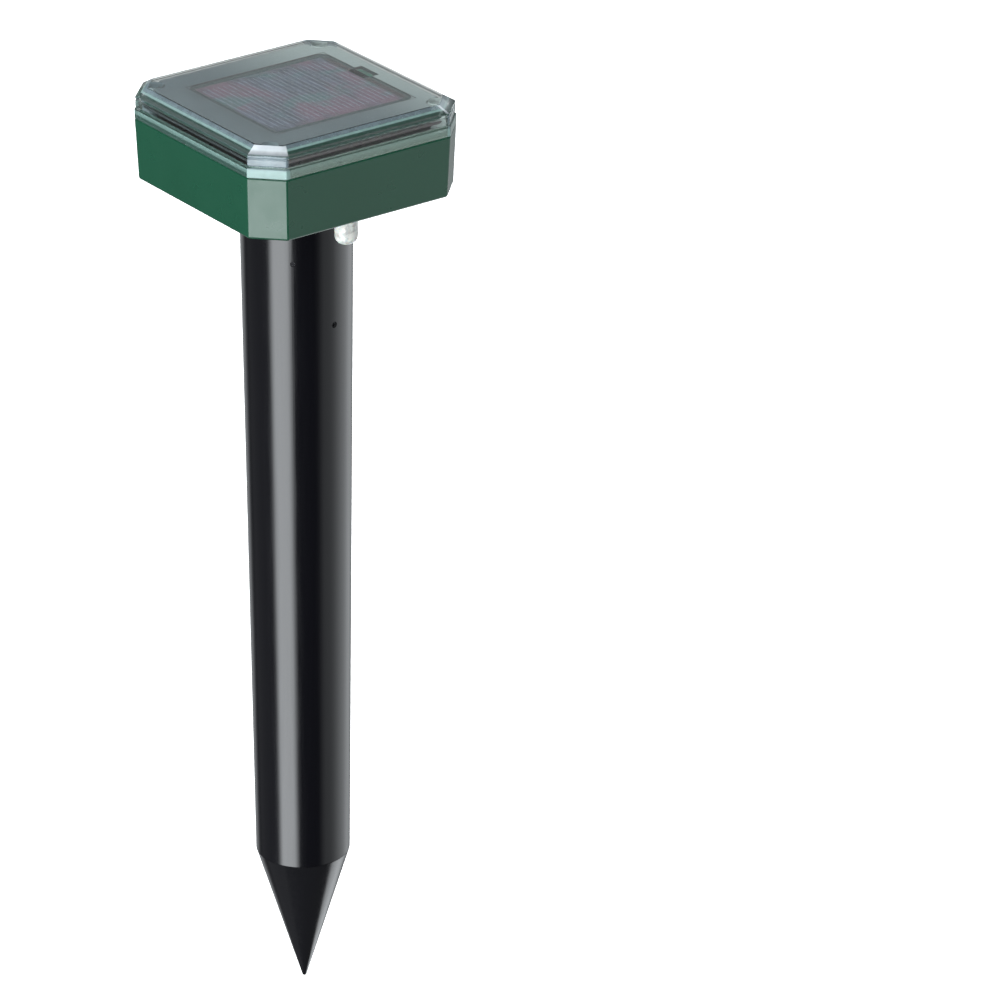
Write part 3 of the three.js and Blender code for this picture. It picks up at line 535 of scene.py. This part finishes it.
# ---------------------------------------------------------------- light
# Soft patches of the studio's light, in degrees, with azimuth 0 in front and 90 at the right.
PATCHES = (
    # azimuth, half width, lowest, highest, softness, strength
    (-70, 21, -44, 74, 16, 9.0),  # tall window on the left
    (60, 46, -38, 40, 22, 0.75),  # wall on the right
    (88, 36, -38, 34, 40, 1.1),  # its brighter far part
    (105, 42, -60, -42, 12, 2.8),  # table on the right
    (-128, 30, -80, 60, 16, 0.14),  # wall on the left
    (168, 20, -44, 8, 16, 0.55),  # strip behind
    (0, 180, 62, 90, 16, 0.5),  # ceiling
    (0, 180, -90, -55, 20, 0.12),  # floor
)
SKY_BEHIND = (143, 62, 8, 62, 14, 0.36)  # a patch that mirrored rays see in full
UPPER_MIRRORED = 0.1  # share of the patches above the horizon that mirrored rays see
HORIZON_BLUR = 8
FAR_SIDE = (143, 50, -60, 8, 16, 0.5)  # how much backdrop shows through clear walls there
AMBIENT = 0.06
LIGHT_COLOUR = (0.93, 0.97, 1.0, 1)


def patch_of_light(nodes, azimuth, elevation, spec):
    """One soft-edged patch: its strength inside, 0 outside."""
    middle, half_width, lowest, highest, softness, strength = spec
    half = softness / 2
    away = nodes.node("Math", {0: nodes.math("SUBTRACT", azimuth, middle), 1: -180, 2: 180},
                      operation="WRAP").outputs[0]
    away = nodes.math("ABSOLUTE", away)
    wide = nodes.fade(away, half_width - half, half_width + half)
    above = nodes.smooth(elevation, lowest - half, lowest + half)
    below = nodes.fade(elevation, highest - half, highest + half)
    return nodes.product(above, below, wide, strength)


def make_light():
    """A studio of soft patches on the sky. The camera sees a plain white backdrop instead."""
    world = bpy.data.worlds.new("studio")
    world.use_nodes = True
    bpy.context.scene.world = world
    nodes = Nodes(world.node_tree)
    output = nodes.node("OutputWorld")
    way = nodes.parts(nodes.node("TexCoord").outputs["Generated"])
    degrees = math.degrees(1)
    azimuth = nodes.math("ARCTAN2", way[0], nodes.product(way[1], -1.0))
    azimuth = nodes.product(azimuth, degrees)
    elevation = nodes.product(nodes.math("ARCSINE", way[2]), degrees)
    total = AMBIENT
    for spec in PATCHES:
        total = nodes.math("ADD", patch_of_light(nodes, azimuth, elevation, spec), total)
    path = nodes.node("LightPath").outputs
    mirrored = nodes.math("MAXIMUM", path["Is Glossy Ray"], path["Is Transmission Ray"])
    upper = nodes.smooth(elevation, -HORIZON_BLUR, HORIZON_BLUR)
    hidden = nodes.product(mirrored, upper)
    total = nodes.product(total, nodes.fade(hidden, 0.0, 1.0, UPPER_MIRRORED))
    total = nodes.math("ADD", total, patch_of_light(nodes, azimuth, elevation, SKY_BEHIND))
    light = nodes.node("Background", {"Color": LIGHT_COLOUR, "Strength": total})
    backdrop = nodes.node("Background", {"Color": WHITE, "Strength": 1.0})
    far_side = patch_of_light(nodes, azimuth, elevation, FAR_SIDE)
    through = nodes.product(path["Is Transmission Ray"], far_side)
    straight = nodes.math("MAXIMUM", path["Is Camera Ray"], through)
    show(nodes, output, nodes.mix_shaders(straight, light, backdrop))


FLOOR_RADIUS = 12


def make_floor():
    """A pale round floor at the height of the stake's point. It only shows to the camera."""
    bm = bmesh.new()
    bmesh.ops.create_circle(bm, cap_ends=True, segments=96, radius=FLOOR_RADIUS)
    mesh = mesh_from(bm, "floor")
    floor = bpy.data.objects.new("floor", mesh)
    bpy.context.scene.collection.objects.link(floor)
    floor.location.z = CAD_LOW.z
    floor.visible_diffuse = False
    floor.visible_glossy = False
    floor.visible_transmission = False
    floor.visible_shadow = False
    mesh.materials.append(studio_floor())


# ---------------------------------------------------------------- pieces and meshes
TOLERANCE = 1e-6
FLAT_WITHIN = math.radians(0.3)
ROUNDED_ABOVE = math.radians(25)
SHARP_ABOVE = math.radians(32)


def link(name, mesh, material, body, replaced=()):
    """A finished mesh as a piece of the object, riding on its body."""
    piece = bpy.data.objects.new(name, mesh)
    bpy.context.scene.collection.objects.link(piece)
    mesh.materials.clear()
    mesh.materials.append(material)
    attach(piece, body)
    flat = piece.modifiers.new("flat_faces", "WEIGHTED_NORMAL")
    flat.keep_sharp = True
    if replaced:
        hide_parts(*replaced)
    return piece


def paint(node, material):
    """A CAD node that stays as it is, with its material."""
    piece = frame["nodes"][node]
    piece.data.materials.clear()
    piece.data.materials.append(material)


def mesh_from(bm, name):
    mesh = bpy.data.meshes.new(name)
    bm.to_mesh(mesh)
    bm.free()
    return mesh


def shade(mesh):
    """Smooth faces, with sharp edges kept sharp."""
    for polygon in mesh.polygons:
        polygon.use_smooth = True
    mesh.set_sharp_from_angle(angle=SHARP_ABOVE)
    return mesh


def cad_copy(node):
    """A CAD node's mesh with its flat faces whole again."""
    bm = bmesh.new()
    bm.from_mesh(frame["nodes"][node].data)
    bmesh.ops.remove_doubles(bm, verts=bm.verts, dist=TOLERANCE)
    bmesh.ops.dissolve_limit(bm, angle_limit=FLAT_WITHIN, verts=bm.verts, edges=bm.edges)
    return bm


def refined(name, node, rounds):
    """A CAD node's shape with some of its sharp edges rounded.

    rounds holds (choice, width, segments), where choice says which edges are rounded.
    """
    bm = cad_copy(node)
    for choice, width, segments in rounds:
        bm.normal_update()
        chosen = [
            edge
            for edge in bm.edges
            if len(edge.link_faces) == 2
            and edge.calc_face_angle(0) > ROUNDED_ABOVE
            and choice(edge)
        ]
        bmesh.ops.bevel(bm, geom=chosen, offset=width, segments=segments, profile=0.5,
                        affect="EDGES", clamp_overlap=False, loop_slide=True)
    return shade(mesh_from(bm, name))


def lathe(name, profile, segments, centre=(0, 0)):
    """A body of revolution from (radius, height) points, on the axis at both ends or a ring."""
    bm = bmesh.new()
    rings = []
    for radius, z in profile:
        if radius == 0:
            rings.append([bm.verts.new((centre[0], centre[1], z))])
            continue
        ring = []
        for i in range(segments):
            angle = 2 * math.pi * i / segments
            x = centre[0] + radius * math.cos(angle)
            y = centre[1] + radius * math.sin(angle)
            ring.append(bm.verts.new((x, y, z)))
        rings.append(ring)
    pairs = list(zip(rings, rings[1:]))
    if profile[0][0] > 0:
        pairs.append((rings[-1], rings[0]))
    for low, high in pairs:
        for i in range(segments):
            j = i + 1
            corners = [low[i % len(low)], low[j % len(low)],
                       high[j % len(high)], high[i % len(high)]]
            unique = list(dict.fromkeys(corners))
            if len(unique) > 2:
                bm.faces.new(unique)
    bmesh.ops.recalc_face_normals(bm, faces=bm.faces)
    return shade(mesh_from(bm, name))


def rod_mesh(name, start, way, length, radius, segments=32):
    """A plain cylinder from start along way, for cutting with."""
    bm = bmesh.new()
    bmesh.ops.create_cone(bm, cap_ends=True, segments=segments, radius1=radius, radius2=radius,
                          depth=length)
    turn = way.to_track_quat("Z", "Y").to_matrix().to_4x4()
    bm.transform(Matrix.Translation(start + way * length / 2) @ turn)
    return mesh_from(bm, name)


def carved(mesh, cutters):
    """The mesh with every cutter taken out of it."""
    body = bpy.data.objects.new("carving", mesh)
    bpy.context.scene.collection.objects.link(body)
    tools = []
    for cutter in cutters:
        tool = bpy.data.objects.new("cutter", cutter)
        bpy.context.scene.collection.objects.link(tool)
        tools.append(tool)
        cut = body.modifiers.new("cut", "BOOLEAN")
        cut.operation = "DIFFERENCE"
        cut.solver = "EXACT"
        cut.object = tool
    bpy.context.view_layer.update()
    finished = body.evaluated_get(bpy.context.evaluated_depsgraph_get())
    done = bpy.data.meshes.new_from_object(finished)
    for made in [body] + tools:
        bpy.data.objects.remove(made)
    return shade(done)


def curve_points(start, corner, end, steps):
    """Points on the curve from start to end that bends towards corner."""
    points = []
    for k in range(steps + 1):
        t = k / steps
        points.append(start * (1 - t) ** 2 + corner * 2 * t * (1 - t) + end * t ** 2)
    return points


def rounded(outline, radii, steps=3):
    """An outline with corners rounded. radii maps the index of a corner to its radius."""
    points = []
    for i in range(len(outline)):
        before, at, after = (Vector(outline[(i + k) % len(outline)]) for k in (-1, 0, 1))
        if i in radii:
            start = at + (before - at).normalized() * radii[i]
            end = at + (after - at).normalized() * radii[i]
            points += curve_points(start, at, end, steps)
        else:
            points.append(outline[i])
    return points


def inset_outline(outline, inset):
    """The outline moved inwards, corner by corner."""
    moved = []
    count = len(outline)
    for i, at in enumerate(outline):
        way = (outline[(i + 1) % count] - outline[i - 1]).normalized()
        moved.append(at + Vector((-way.y, way.x)) * inset)
    return moved


def add_prism(bm, outline, levels):
    """A closed prism through (height, inset) levels of one outline, which runs anticlockwise."""
    rings = []
    for z, inset in levels:
        ring = [bm.verts.new((p.x, p.y, z)) for p in inset_outline(outline, inset)]
        rings.append(ring)
    bm.faces.new(rings[0][::-1])
    bm.faces.new(rings[-1])
    count = len(outline)
    for a, b in zip(rings, rings[1:]):
        for i in range(count):
            j = (i + 1) % count
            bm.faces.new((a[i], a[j], b[j], b[i]))


def prism(name, outline, levels):
    bm = bmesh.new()
    add_prism(bm, outline, levels)
    return shade(mesh_from(bm, name))


# ---------------------------------------------------------------- the head
HEAD_RIM = 0.046  # the head's outer walls lie past this distance from its axis
UNDERSIDE_TOP = 0.0252
CUT_CORNER_SHARE = 0.62  # of |x| + |y|, so that the cut corners count as outer walls


def faces_out(edge):
    """Whether both faces at an edge look away from the object's axis, or up or down."""
    for face in edge.link_faces:
        outward = face.calc_center_median().to_2d()
        if outward.length > 1e-9 and face.normal.to_2d().dot(outward.normalized()) < -0.05:
            return False
    return True


def from_axis(vert):
    return max(abs(vert.co.x), abs(vert.co.y))


def on_outer_wall(edge):
    if not faces_out(edge):
        return False
    for vert in edge.verts:
        across_corner = (abs(vert.co.x) + abs(vert.co.y)) * CUT_CORNER_SHARE
        if max(from_axis(vert), across_corner) <= HEAD_RIM:
            return False
    return True


def on_underside(edge):
    """Whether an edge belongs to the collar and the other details under the head."""
    inside = all(vert.co.z < UNDERSIDE_TOP and from_axis(vert) < HEAD_RIM for vert in edge.verts)
    return inside and any(face.normal.z < -0.5 for face in edge.link_faces)


def make_head(green, clear, tray):
    mesh = refined("head_shell", "head_body",
                   [(on_outer_wall, 0.5 * MM, 3), (on_underside, 0.18 * MM, 2)])
    link("head_shell", mesh, green, "housing", ["head_body"])
    mesh = refined("clear_lid", "clear_cover", [(faces_out, 0.3 * MM, 3)])
    link("clear_lid", mesh, clear, "housing", ["clear_cover"])
    mesh = refined("panel_carrier", "panel_tray", [(faces_out, 0.25 * MM, 2)])
    link("panel_carrier", mesh, tray, "housing", ["panel_tray"])


# ---------------------------------------------------------------- the solar panel
PRINT_GAP = 0.01 * MM  # between a printed or laid strip and what it lies on
STRIP_CORNER = 0.12 * MM
FINGER_PITCH = 2.4 * MM
FINGER_WIDTH = 0.36 * MM
FINGER_LENGTH = 49 * MM
FINGER_TOP = 0.06 * MM
TAB_GAP = 0.5 * MM
TAB_WIDTH = 2.2 * MM
TAB_TOP = 0.2 * MM
TAB_END, TAB_START = 26 * MM, -27 * MM
NOTCH_DEPTH = 2.6 * MM
NOTCH_WIDTH = 9 * MM
NOTCH_Y = 4 * MM
TAB_FROM_NOTCH = 5.5 * MM
NOTCH_CORNER = 0.6 * MM
RESIN_CORNER = 4 * MM
RECESS_STEPS = 8
SEALANT_CORNER = 1.4 * MM


def rectangle(low_x, low_y, high_x, high_y):
    return [(low_x, low_y), (high_x, low_y), (high_x, high_y), (low_x, high_y)]


def evenly_rounded(outline, radius, steps=6):
    return rounded(outline, {i: radius for i in range(len(outline))}, steps)


def strip(bm, low_x, low_y, high_x, high_y, bottom, top):
    """A printed or laid strip: a thin bar with soft upper edges."""
    outline = evenly_rounded(rectangle(low_x, low_y, high_x, high_y), STRIP_CORNER, 2)
    thick = top - bottom
    add_prism(bm, outline, [(bottom, 0), (top - thick / 2, 0), (top, thick)])


def make_fingers(silver):
    """The printed fingers that run along all four cells."""
    low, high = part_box("solar_cell_1")[0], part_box("solar_cell_4")[1]
    bm = bmesh.new()
    count = int((high.x - low.x) / FINGER_PITCH)
    start = (low.x + high.x) / 2 - FINGER_PITCH * (count - 1) / 2
    half = FINGER_LENGTH / 2
    for i in range(count):
        x = start + i * FINGER_PITCH - FINGER_WIDTH / 2
        strip(bm, x, -half, x + FINGER_WIDTH, half, high.z + PRINT_GAP, high.z + FINGER_TOP)
    mesh = shade(mesh_from(bm, "cell_fingers"))
    link("cell_fingers", mesh, silver, "housing")


def make_tabs(copper):
    """The contact tabs on the board's right edge, one on each side of the notch."""
    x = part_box("solar_cell_4")[1].x + TAB_GAP
    board_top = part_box("panel_backing")[1].z
    bm = bmesh.new()
    for y0, y1 in ((NOTCH_Y + TAB_FROM_NOTCH, TAB_END), (TAB_START, NOTCH_Y - TAB_FROM_NOTCH)):
        strip(bm, x, y0, x + TAB_WIDTH, y1, board_top + PRINT_GAP, board_top + TAB_TOP)
    mesh = shade(mesh_from(bm, "contact_tabs"))
    link("contact_tabs", mesh, copper, "housing")


def make_resin(resin):
    """The resin cast over the panel, with a notch for the leads in its right edge."""
    board_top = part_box("panel_backing")[1].z
    low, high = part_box("panel_resin")
    notch_x = high.x - NOTCH_DEPTH
    notch_low, notch_high = NOTCH_Y - NOTCH_WIDTH / 2, NOTCH_Y + NOTCH_WIDTH / 2
    outline = [
        (low.x, low.y), (high.x, low.y), (high.x, notch_low), (notch_x, notch_low),
        (notch_x, notch_high), (high.x, notch_high), (high.x, high.y), (low.x, high.y),
    ]
    radii = {i: RESIN_CORNER for i in (0, 1, 6, 7)} | {i: NOTCH_CORNER for i in (2, 3, 4, 5)}
    levels = [(board_top - 0.05 * MM, 0), (high.z - 0.4 * MM, 0),
              (high.z - 0.2 * MM, 0.06 * MM), (high.z - 0.08 * MM, 0.2 * MM),
              (high.z - 0.02 * MM, 0.45 * MM), (high.z, 0.9 * MM)]
    mesh = prism("cast_resin", rounded(outline, radii, 6), levels)
    link("cast_resin", mesh, resin, "housing", ["panel_resin"])


def make_recess_corners(tray):
    """What fills the recess between the resin's round corners and the tray's square ones."""
    board_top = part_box("panel_backing")[1].z
    low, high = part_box("panel_resin")
    bm = bmesh.new()
    for side_x, side_y in ((-1, -1), (1, -1), (1, 1), (-1, 1)):
        corner = Vector((high.x if side_x > 0 else low.x, high.y if side_y > 0 else low.y))
        start = corner - Vector((side_x * RESIN_CORNER, 0))
        end = corner - Vector((0, side_y * RESIN_CORNER))
        filling = [corner + Vector((side_x, side_y)) * 0.1 * MM]
        filling += curve_points(start, corner, end, RECESS_STEPS)
        if side_x * side_y < 0:
            filling.reverse()
        add_prism(bm, filling, [(board_top + 0.02 * MM, 0), (high.z + 0.1 * MM, 0)])
    bmesh.ops.recalc_face_normals(bm, faces=bm.faces)
    mesh = shade(mesh_from(bm, "recess_corners"))
    link("recess_corners", mesh, tray, "housing")


def make_lead_sealant(green):
    """The sealant that fills the notch over the leads."""
    board_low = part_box("panel_backing")[0].z
    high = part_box("panel_resin")[1]
    low_x, high_x = high.x - NOTCH_DEPTH + 0.3 * MM, high.x + 2.6 * MM
    low_y = NOTCH_Y - NOTCH_WIDTH / 2 + 0.3 * MM
    high_y = NOTCH_Y + NOTCH_WIDTH / 2 + 0.5 * MM
    outline = evenly_rounded(rectangle(low_x, low_y, high_x, high_y), SEALANT_CORNER)
    levels = [(board_low + 0.2 * MM, 0), (high.z - 0.9 * MM, 0), (high.z - 0.45 * MM, 0.25 * MM),
              (high.z - 0.15 * MM, 0.9 * MM), (high.z - 0.05 * MM, 1.8 * MM)]
    mesh = prism("lead_sealant", outline, levels)
    link("lead_sealant", mesh, green, "housing")


# ---------------------------------------------------------------- the push button
DOME_HEIGHT = 4 * MM
DOME_STEPS = 14
DOME_BULGE = 0.8  # under 1 makes the dome fuller than a half ellipse
CAP_SOCKET = 2.3 * MM
CAP_EDGE = 0.3 * MM
SOCKET_PLAY = 0.3 * MM
NUT_CORNER = 0.9 * MM
BUSH_RADIUS = 6 * MM
BUSH_PLAY = 0.3 * MM
BUTTON_SEGMENTS = 64
WIRE_RADIUS = 0.35 * MM
SPRING_TURNS = 4
STEPS_PER_TURN = 28
WIRE_SIDES = 10


def button_centre():
    low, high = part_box("button_cap")
    return (low.x + high.x) / 2, (low.y + high.y) / 2


def make_cap(white):
    low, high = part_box("button_cap")
    radius = (high.x - low.x) / 2
    profile = [(0, low.z)]
    for i in range(1, DOME_STEPS + 1):
        angle = math.pi / 2 * i / DOME_STEPS
        profile.append((radius * math.sin(angle) ** DOME_BULGE,
                        low.z + DOME_HEIGHT * (1 - math.cos(angle) ** DOME_BULGE)))
    socket_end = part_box("switch_plunger")[0].z - SOCKET_PLAY
    profile += [(radius, high.z - CAP_EDGE), (radius - CAP_EDGE, high.z), (CAP_SOCKET, high.z),
                (CAP_SOCKET, socket_end), (0, socket_end)]
    mesh = lathe("rubber_cap", profile, BUTTON_SEGMENTS, button_centre())
    link("rubber_cap", mesh, white, "push_button", ["button_cap"])


def make_nut(nylon):
    """The six-sided nut on the button's bush."""
    centre_x, centre_y = button_centre()
    low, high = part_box("switch_nut")
    across_flats = min(high.x - low.x, high.y - low.y)
    corner = across_flats / math.sqrt(3)
    corners_on_x = (high.x - low.x) > across_flats + TOLERANCE
    outline = []
    for i in range(6):
        angle = math.radians(60 * i + (0 if corners_on_x else 30))
        outline.append((centre_x + corner * math.cos(angle), centre_y + corner * math.sin(angle)))
    body = prism("ring_nut", evenly_rounded(outline, NUT_CORNER, 4),
                 [(low.z, 0.7 * MM), (low.z + 0.35 * MM, 0.12 * MM), (low.z + 0.6 * MM, 0),
                  (high.z - 0.3 * MM, 0), (high.z, 0.25 * MM)])
    past = 1 * MM
    bore = rod_mesh("bore", Vector((centre_x, centre_y, low.z - past)), Vector((0, 0, 1)),
                    high.z - low.z + 2 * past, BUSH_RADIUS + BUSH_PLAY, BUTTON_SEGMENTS)
    link("ring_nut", carved(body, [bore]), nylon, "housing", ["switch_nut"])


def make_spring(steel):
    """The button's return spring, which shortens towards its seat as the button is pressed."""
    low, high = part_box("switch_spring")
    centre = (low + high) / 2
    coil_radius = (high.x - low.x) / 2 - WIRE_RADIUS
    start_z, end_z = low.z + WIRE_RADIUS, high.z - WIRE_RADIUS
    steps = SPRING_TURNS * STEPS_PER_TURN
    bm = bmesh.new()
    rings = []
    for i in range(steps + 1):
        angle = 2 * math.pi * i / STEPS_PER_TURN
        outward = Vector((math.cos(angle), math.sin(angle), 0))
        middle = Vector((centre.x, centre.y, start_z + (end_z - start_z) * i / steps))
        middle += outward * coil_radius
        ring = []
        for k in range(WIRE_SIDES):
            turn = 2 * math.pi * k / WIRE_SIDES
            offset = outward * math.cos(turn) + Vector((0, 0, 1)) * math.sin(turn)
            ring.append(bm.verts.new(middle + offset * WIRE_RADIUS))
        rings.append(ring)
    for a, b in zip(rings, rings[1:]):
        for k in range(WIRE_SIDES):
            j = (k + 1) % WIRE_SIDES
            bm.faces.new((a[k], a[j], b[j], b[k]))
    bm.faces.new(rings[0])
    bm.faces.new(rings[-1])
    bmesh.ops.recalc_face_normals(bm, faces=bm.faces)
    mesh = shade(mesh_from(bm, "return_spring"))
    spring = link("return_spring", mesh, steel, "housing", ["switch_spring"])
    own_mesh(spring)


# ---------------------------------------------------------------- the stake
STAKE_SEGMENTS = 160
STAKE_SCREWS = ("neck_screw_1", "neck_screw_2", "speaker_screw_1", "speaker_screw_2")
TUBE_WALL = 2 * MM
JOINT_GAP = 0.3 * MM  # the gap that the CAD solids of tube and cone keep
SHOULDER_SEAM = 0.06 * MM  # the gap that shows between them
SEAT_PLAY = 0.12 * MM
SEAT_DEPTH = 0.9 * MM
SHANK_RADIUS = 0.9 * MM
SHANK_DEPTH = 6 * MM
CUT_FROM = 2 * MM  # the cutters start this far outside the screw's head
TIP_RADIUS = 1 * MM
SPIGOT_WALL = 2.4 * MM
SPIGOT_DRAFT = 0.2 * MM
HOLLOW_RADIUS = 1.2 * MM
HOLLOW_FROM_POINT = 12 * MM


def screw_cutters(node):
    """The seat and the shank hole of one screw set square to the tube."""
    low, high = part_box(node)
    middle = (low + high) / 2
    outward = Vector((middle.x, middle.y, 0)).normalized()
    verts = [v.co for v in frame["nodes"][node].data.vertices]
    reach = max(v.dot(outward) for v in verts)
    head = [v for v in verts if v.dot(outward) > reach - 0.1 * MM]
    side = Vector((-outward.y, outward.x, 0))
    head_radius = (max(v.dot(side) for v in head) - min(v.dot(side) for v in head)) / 2
    start = outward * (reach + CUT_FROM)
    start.z = sum(v.z for v in head) / len(head)
    seat = rod_mesh("seat", start, -outward, CUT_FROM + SEAT_DEPTH, head_radius + SEAT_PLAY)
    hole = rod_mesh("hole", start, -outward, CUT_FROM + SHANK_DEPTH, SHANK_RADIUS)
    return [seat, hole]


def make_tube(black):
    low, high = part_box("stake_tube")
    end_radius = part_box("spike_tip")[1].x
    bottom = low.z - JOINT_GAP + SHOULDER_SEAM
    profile = [
        (end_radius - TUBE_WALL, bottom),
        (end_radius, bottom),
        (high.x, high.z),
        (high.x - TUBE_WALL, high.z),
    ]
    profile = rounded(profile, {1: 0.1 * MM, 2: 0.5 * MM, 3: 0.3 * MM})
    cutters = [cutter for node in STAKE_SCREWS for cutter in screw_cutters(node)]
    mesh = carved(lathe("black_tube", profile, STAKE_SEGMENTS), cutters)
    link("black_tube", mesh, black, "housing", ["stake_tube"])


def make_cone(black):
    """The hollow cone, with a blunt point and a spigot that stands in the tube."""
    low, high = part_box("spike_tip")
    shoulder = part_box("stake_tube")[0].z - JOINT_GAP
    spigot = high.x - TUBE_WALL - JOINT_GAP
    hollow_end = low.z + HOLLOW_FROM_POINT
    profile = [
        (0, low.z),
        (TIP_RADIUS * 0.72, low.z + 0.22 * MM),
        (TIP_RADIUS, low.z + TIP_RADIUS),
        (high.x, shoulder),
        (spigot, shoulder),
        (spigot - SPIGOT_DRAFT, high.z),
        (spigot - SPIGOT_WALL, high.z),
        (spigot - SPIGOT_WALL, shoulder),
        (HOLLOW_RADIUS, hollow_end),
        (0, hollow_end),
    ]
    profile = rounded(profile, {1: 0.2 * MM, 2: 0.5 * MM, 3: 0.1 * MM, 5: 0.4 * MM, 6: 0.3 * MM})
    mesh = lathe("black_point", profile, STAKE_SEGMENTS)
    link("black_point", mesh, black, "housing", ["spike_tip"])


# ---------------------------------------------------------------- build
make_camera()
make_light()
make_floor()

GREEN = green_plastic()
BLACK = glossy_black()
CLEAR = clear_plastic("clear_plastic", rgb(250, 253, 252), rgb(186, 212, 206), 0.03, 1.49,
                      cover_painted_layers)
RESIN = clear_plastic("panel_resin", rgb(244, 248, 250), rgb(214, 222, 228), 0.05, 1.5)
TRAY = tray_plastic()

MATERIALS = {
    "green_plastic": GREEN,
    "clear_plastic": CLEAR,
    "tray_plastic": TRAY,
    "black_plastic": BLACK,
    "black_rubber": rubber("black_rubber", rgb(20, 20, 20), 0.7),
    "white_rubber": mottled_rubber("white_rubber", rgb(196, 198, 192), rgb(154, 156, 152)),
    "grey_rubber": rubber("grey_rubber", rgb(104, 114, 108), 0.6),
    "nylon": moulded("nylon", rgb(214, 214, 204), 0.45),
    "dark_plastic": moulded("dark_plastic", rgb(24, 24, 26), 0.45),
    "solar_cell": solar_cell(),
    "panel_resin": RESIN,
    "panel_board": moulded("panel_board", rgb(26, 50, 46), 0.5),
    "board_green": circuit_green(),
    "component_black": moulded("component_black", rgb(22, 22, 24), 0.5),
    "component_sleeve": moulded("component_sleeve", rgb(26, 66, 104), 0.3),
    "component_tan": moulded("component_tan", rgb(190, 160, 112), 0.45),
    "ferrite": moulded("ferrite", rgb(52, 52, 56), 0.65, 0.8),
    "battery_sleeve": battery_sleeve(),
    "nickel": metal("nickel", rgb(196, 192, 180), line=(0.1, 1, 1)),
    "steel": metal("steel", rgb(196, 198, 200)),
    "dark_steel": metal("dark_steel", rgb(44, 44, 46), 0.35),
    "copper": wound_copper(),
    "wire_red": moulded("wire_red", rgb(170, 28, 24), 0.4),
    "wire_black": moulded("wire_black", rgb(20, 20, 20), 0.4),
    "wire_white": moulded("wire_white", rgb(206, 200, 184), 0.4),
    "cone_paper": rubber("cone_paper", rgb(44, 40, 38), 0.85),
}
for part in frame["record"]["subparts"]:
    paint(part["node"], MATERIALS[part["material_slot"]])

make_head(GREEN, CLEAR, TRAY)
make_fingers(silver_paste())
make_tabs(tab_metal())
make_resin(RESIN)
make_recess_corners(TRAY)
make_lead_sealant(sealant())
make_cap(MATERIALS["white_rubber"])
make_nut(MATERIALS["nylon"])
make_spring(MATERIALS["steel"])
make_tube(BLACK)
make_cone(BLACK)

bpy.context.scene.view_settings.view_transform = "Standard"
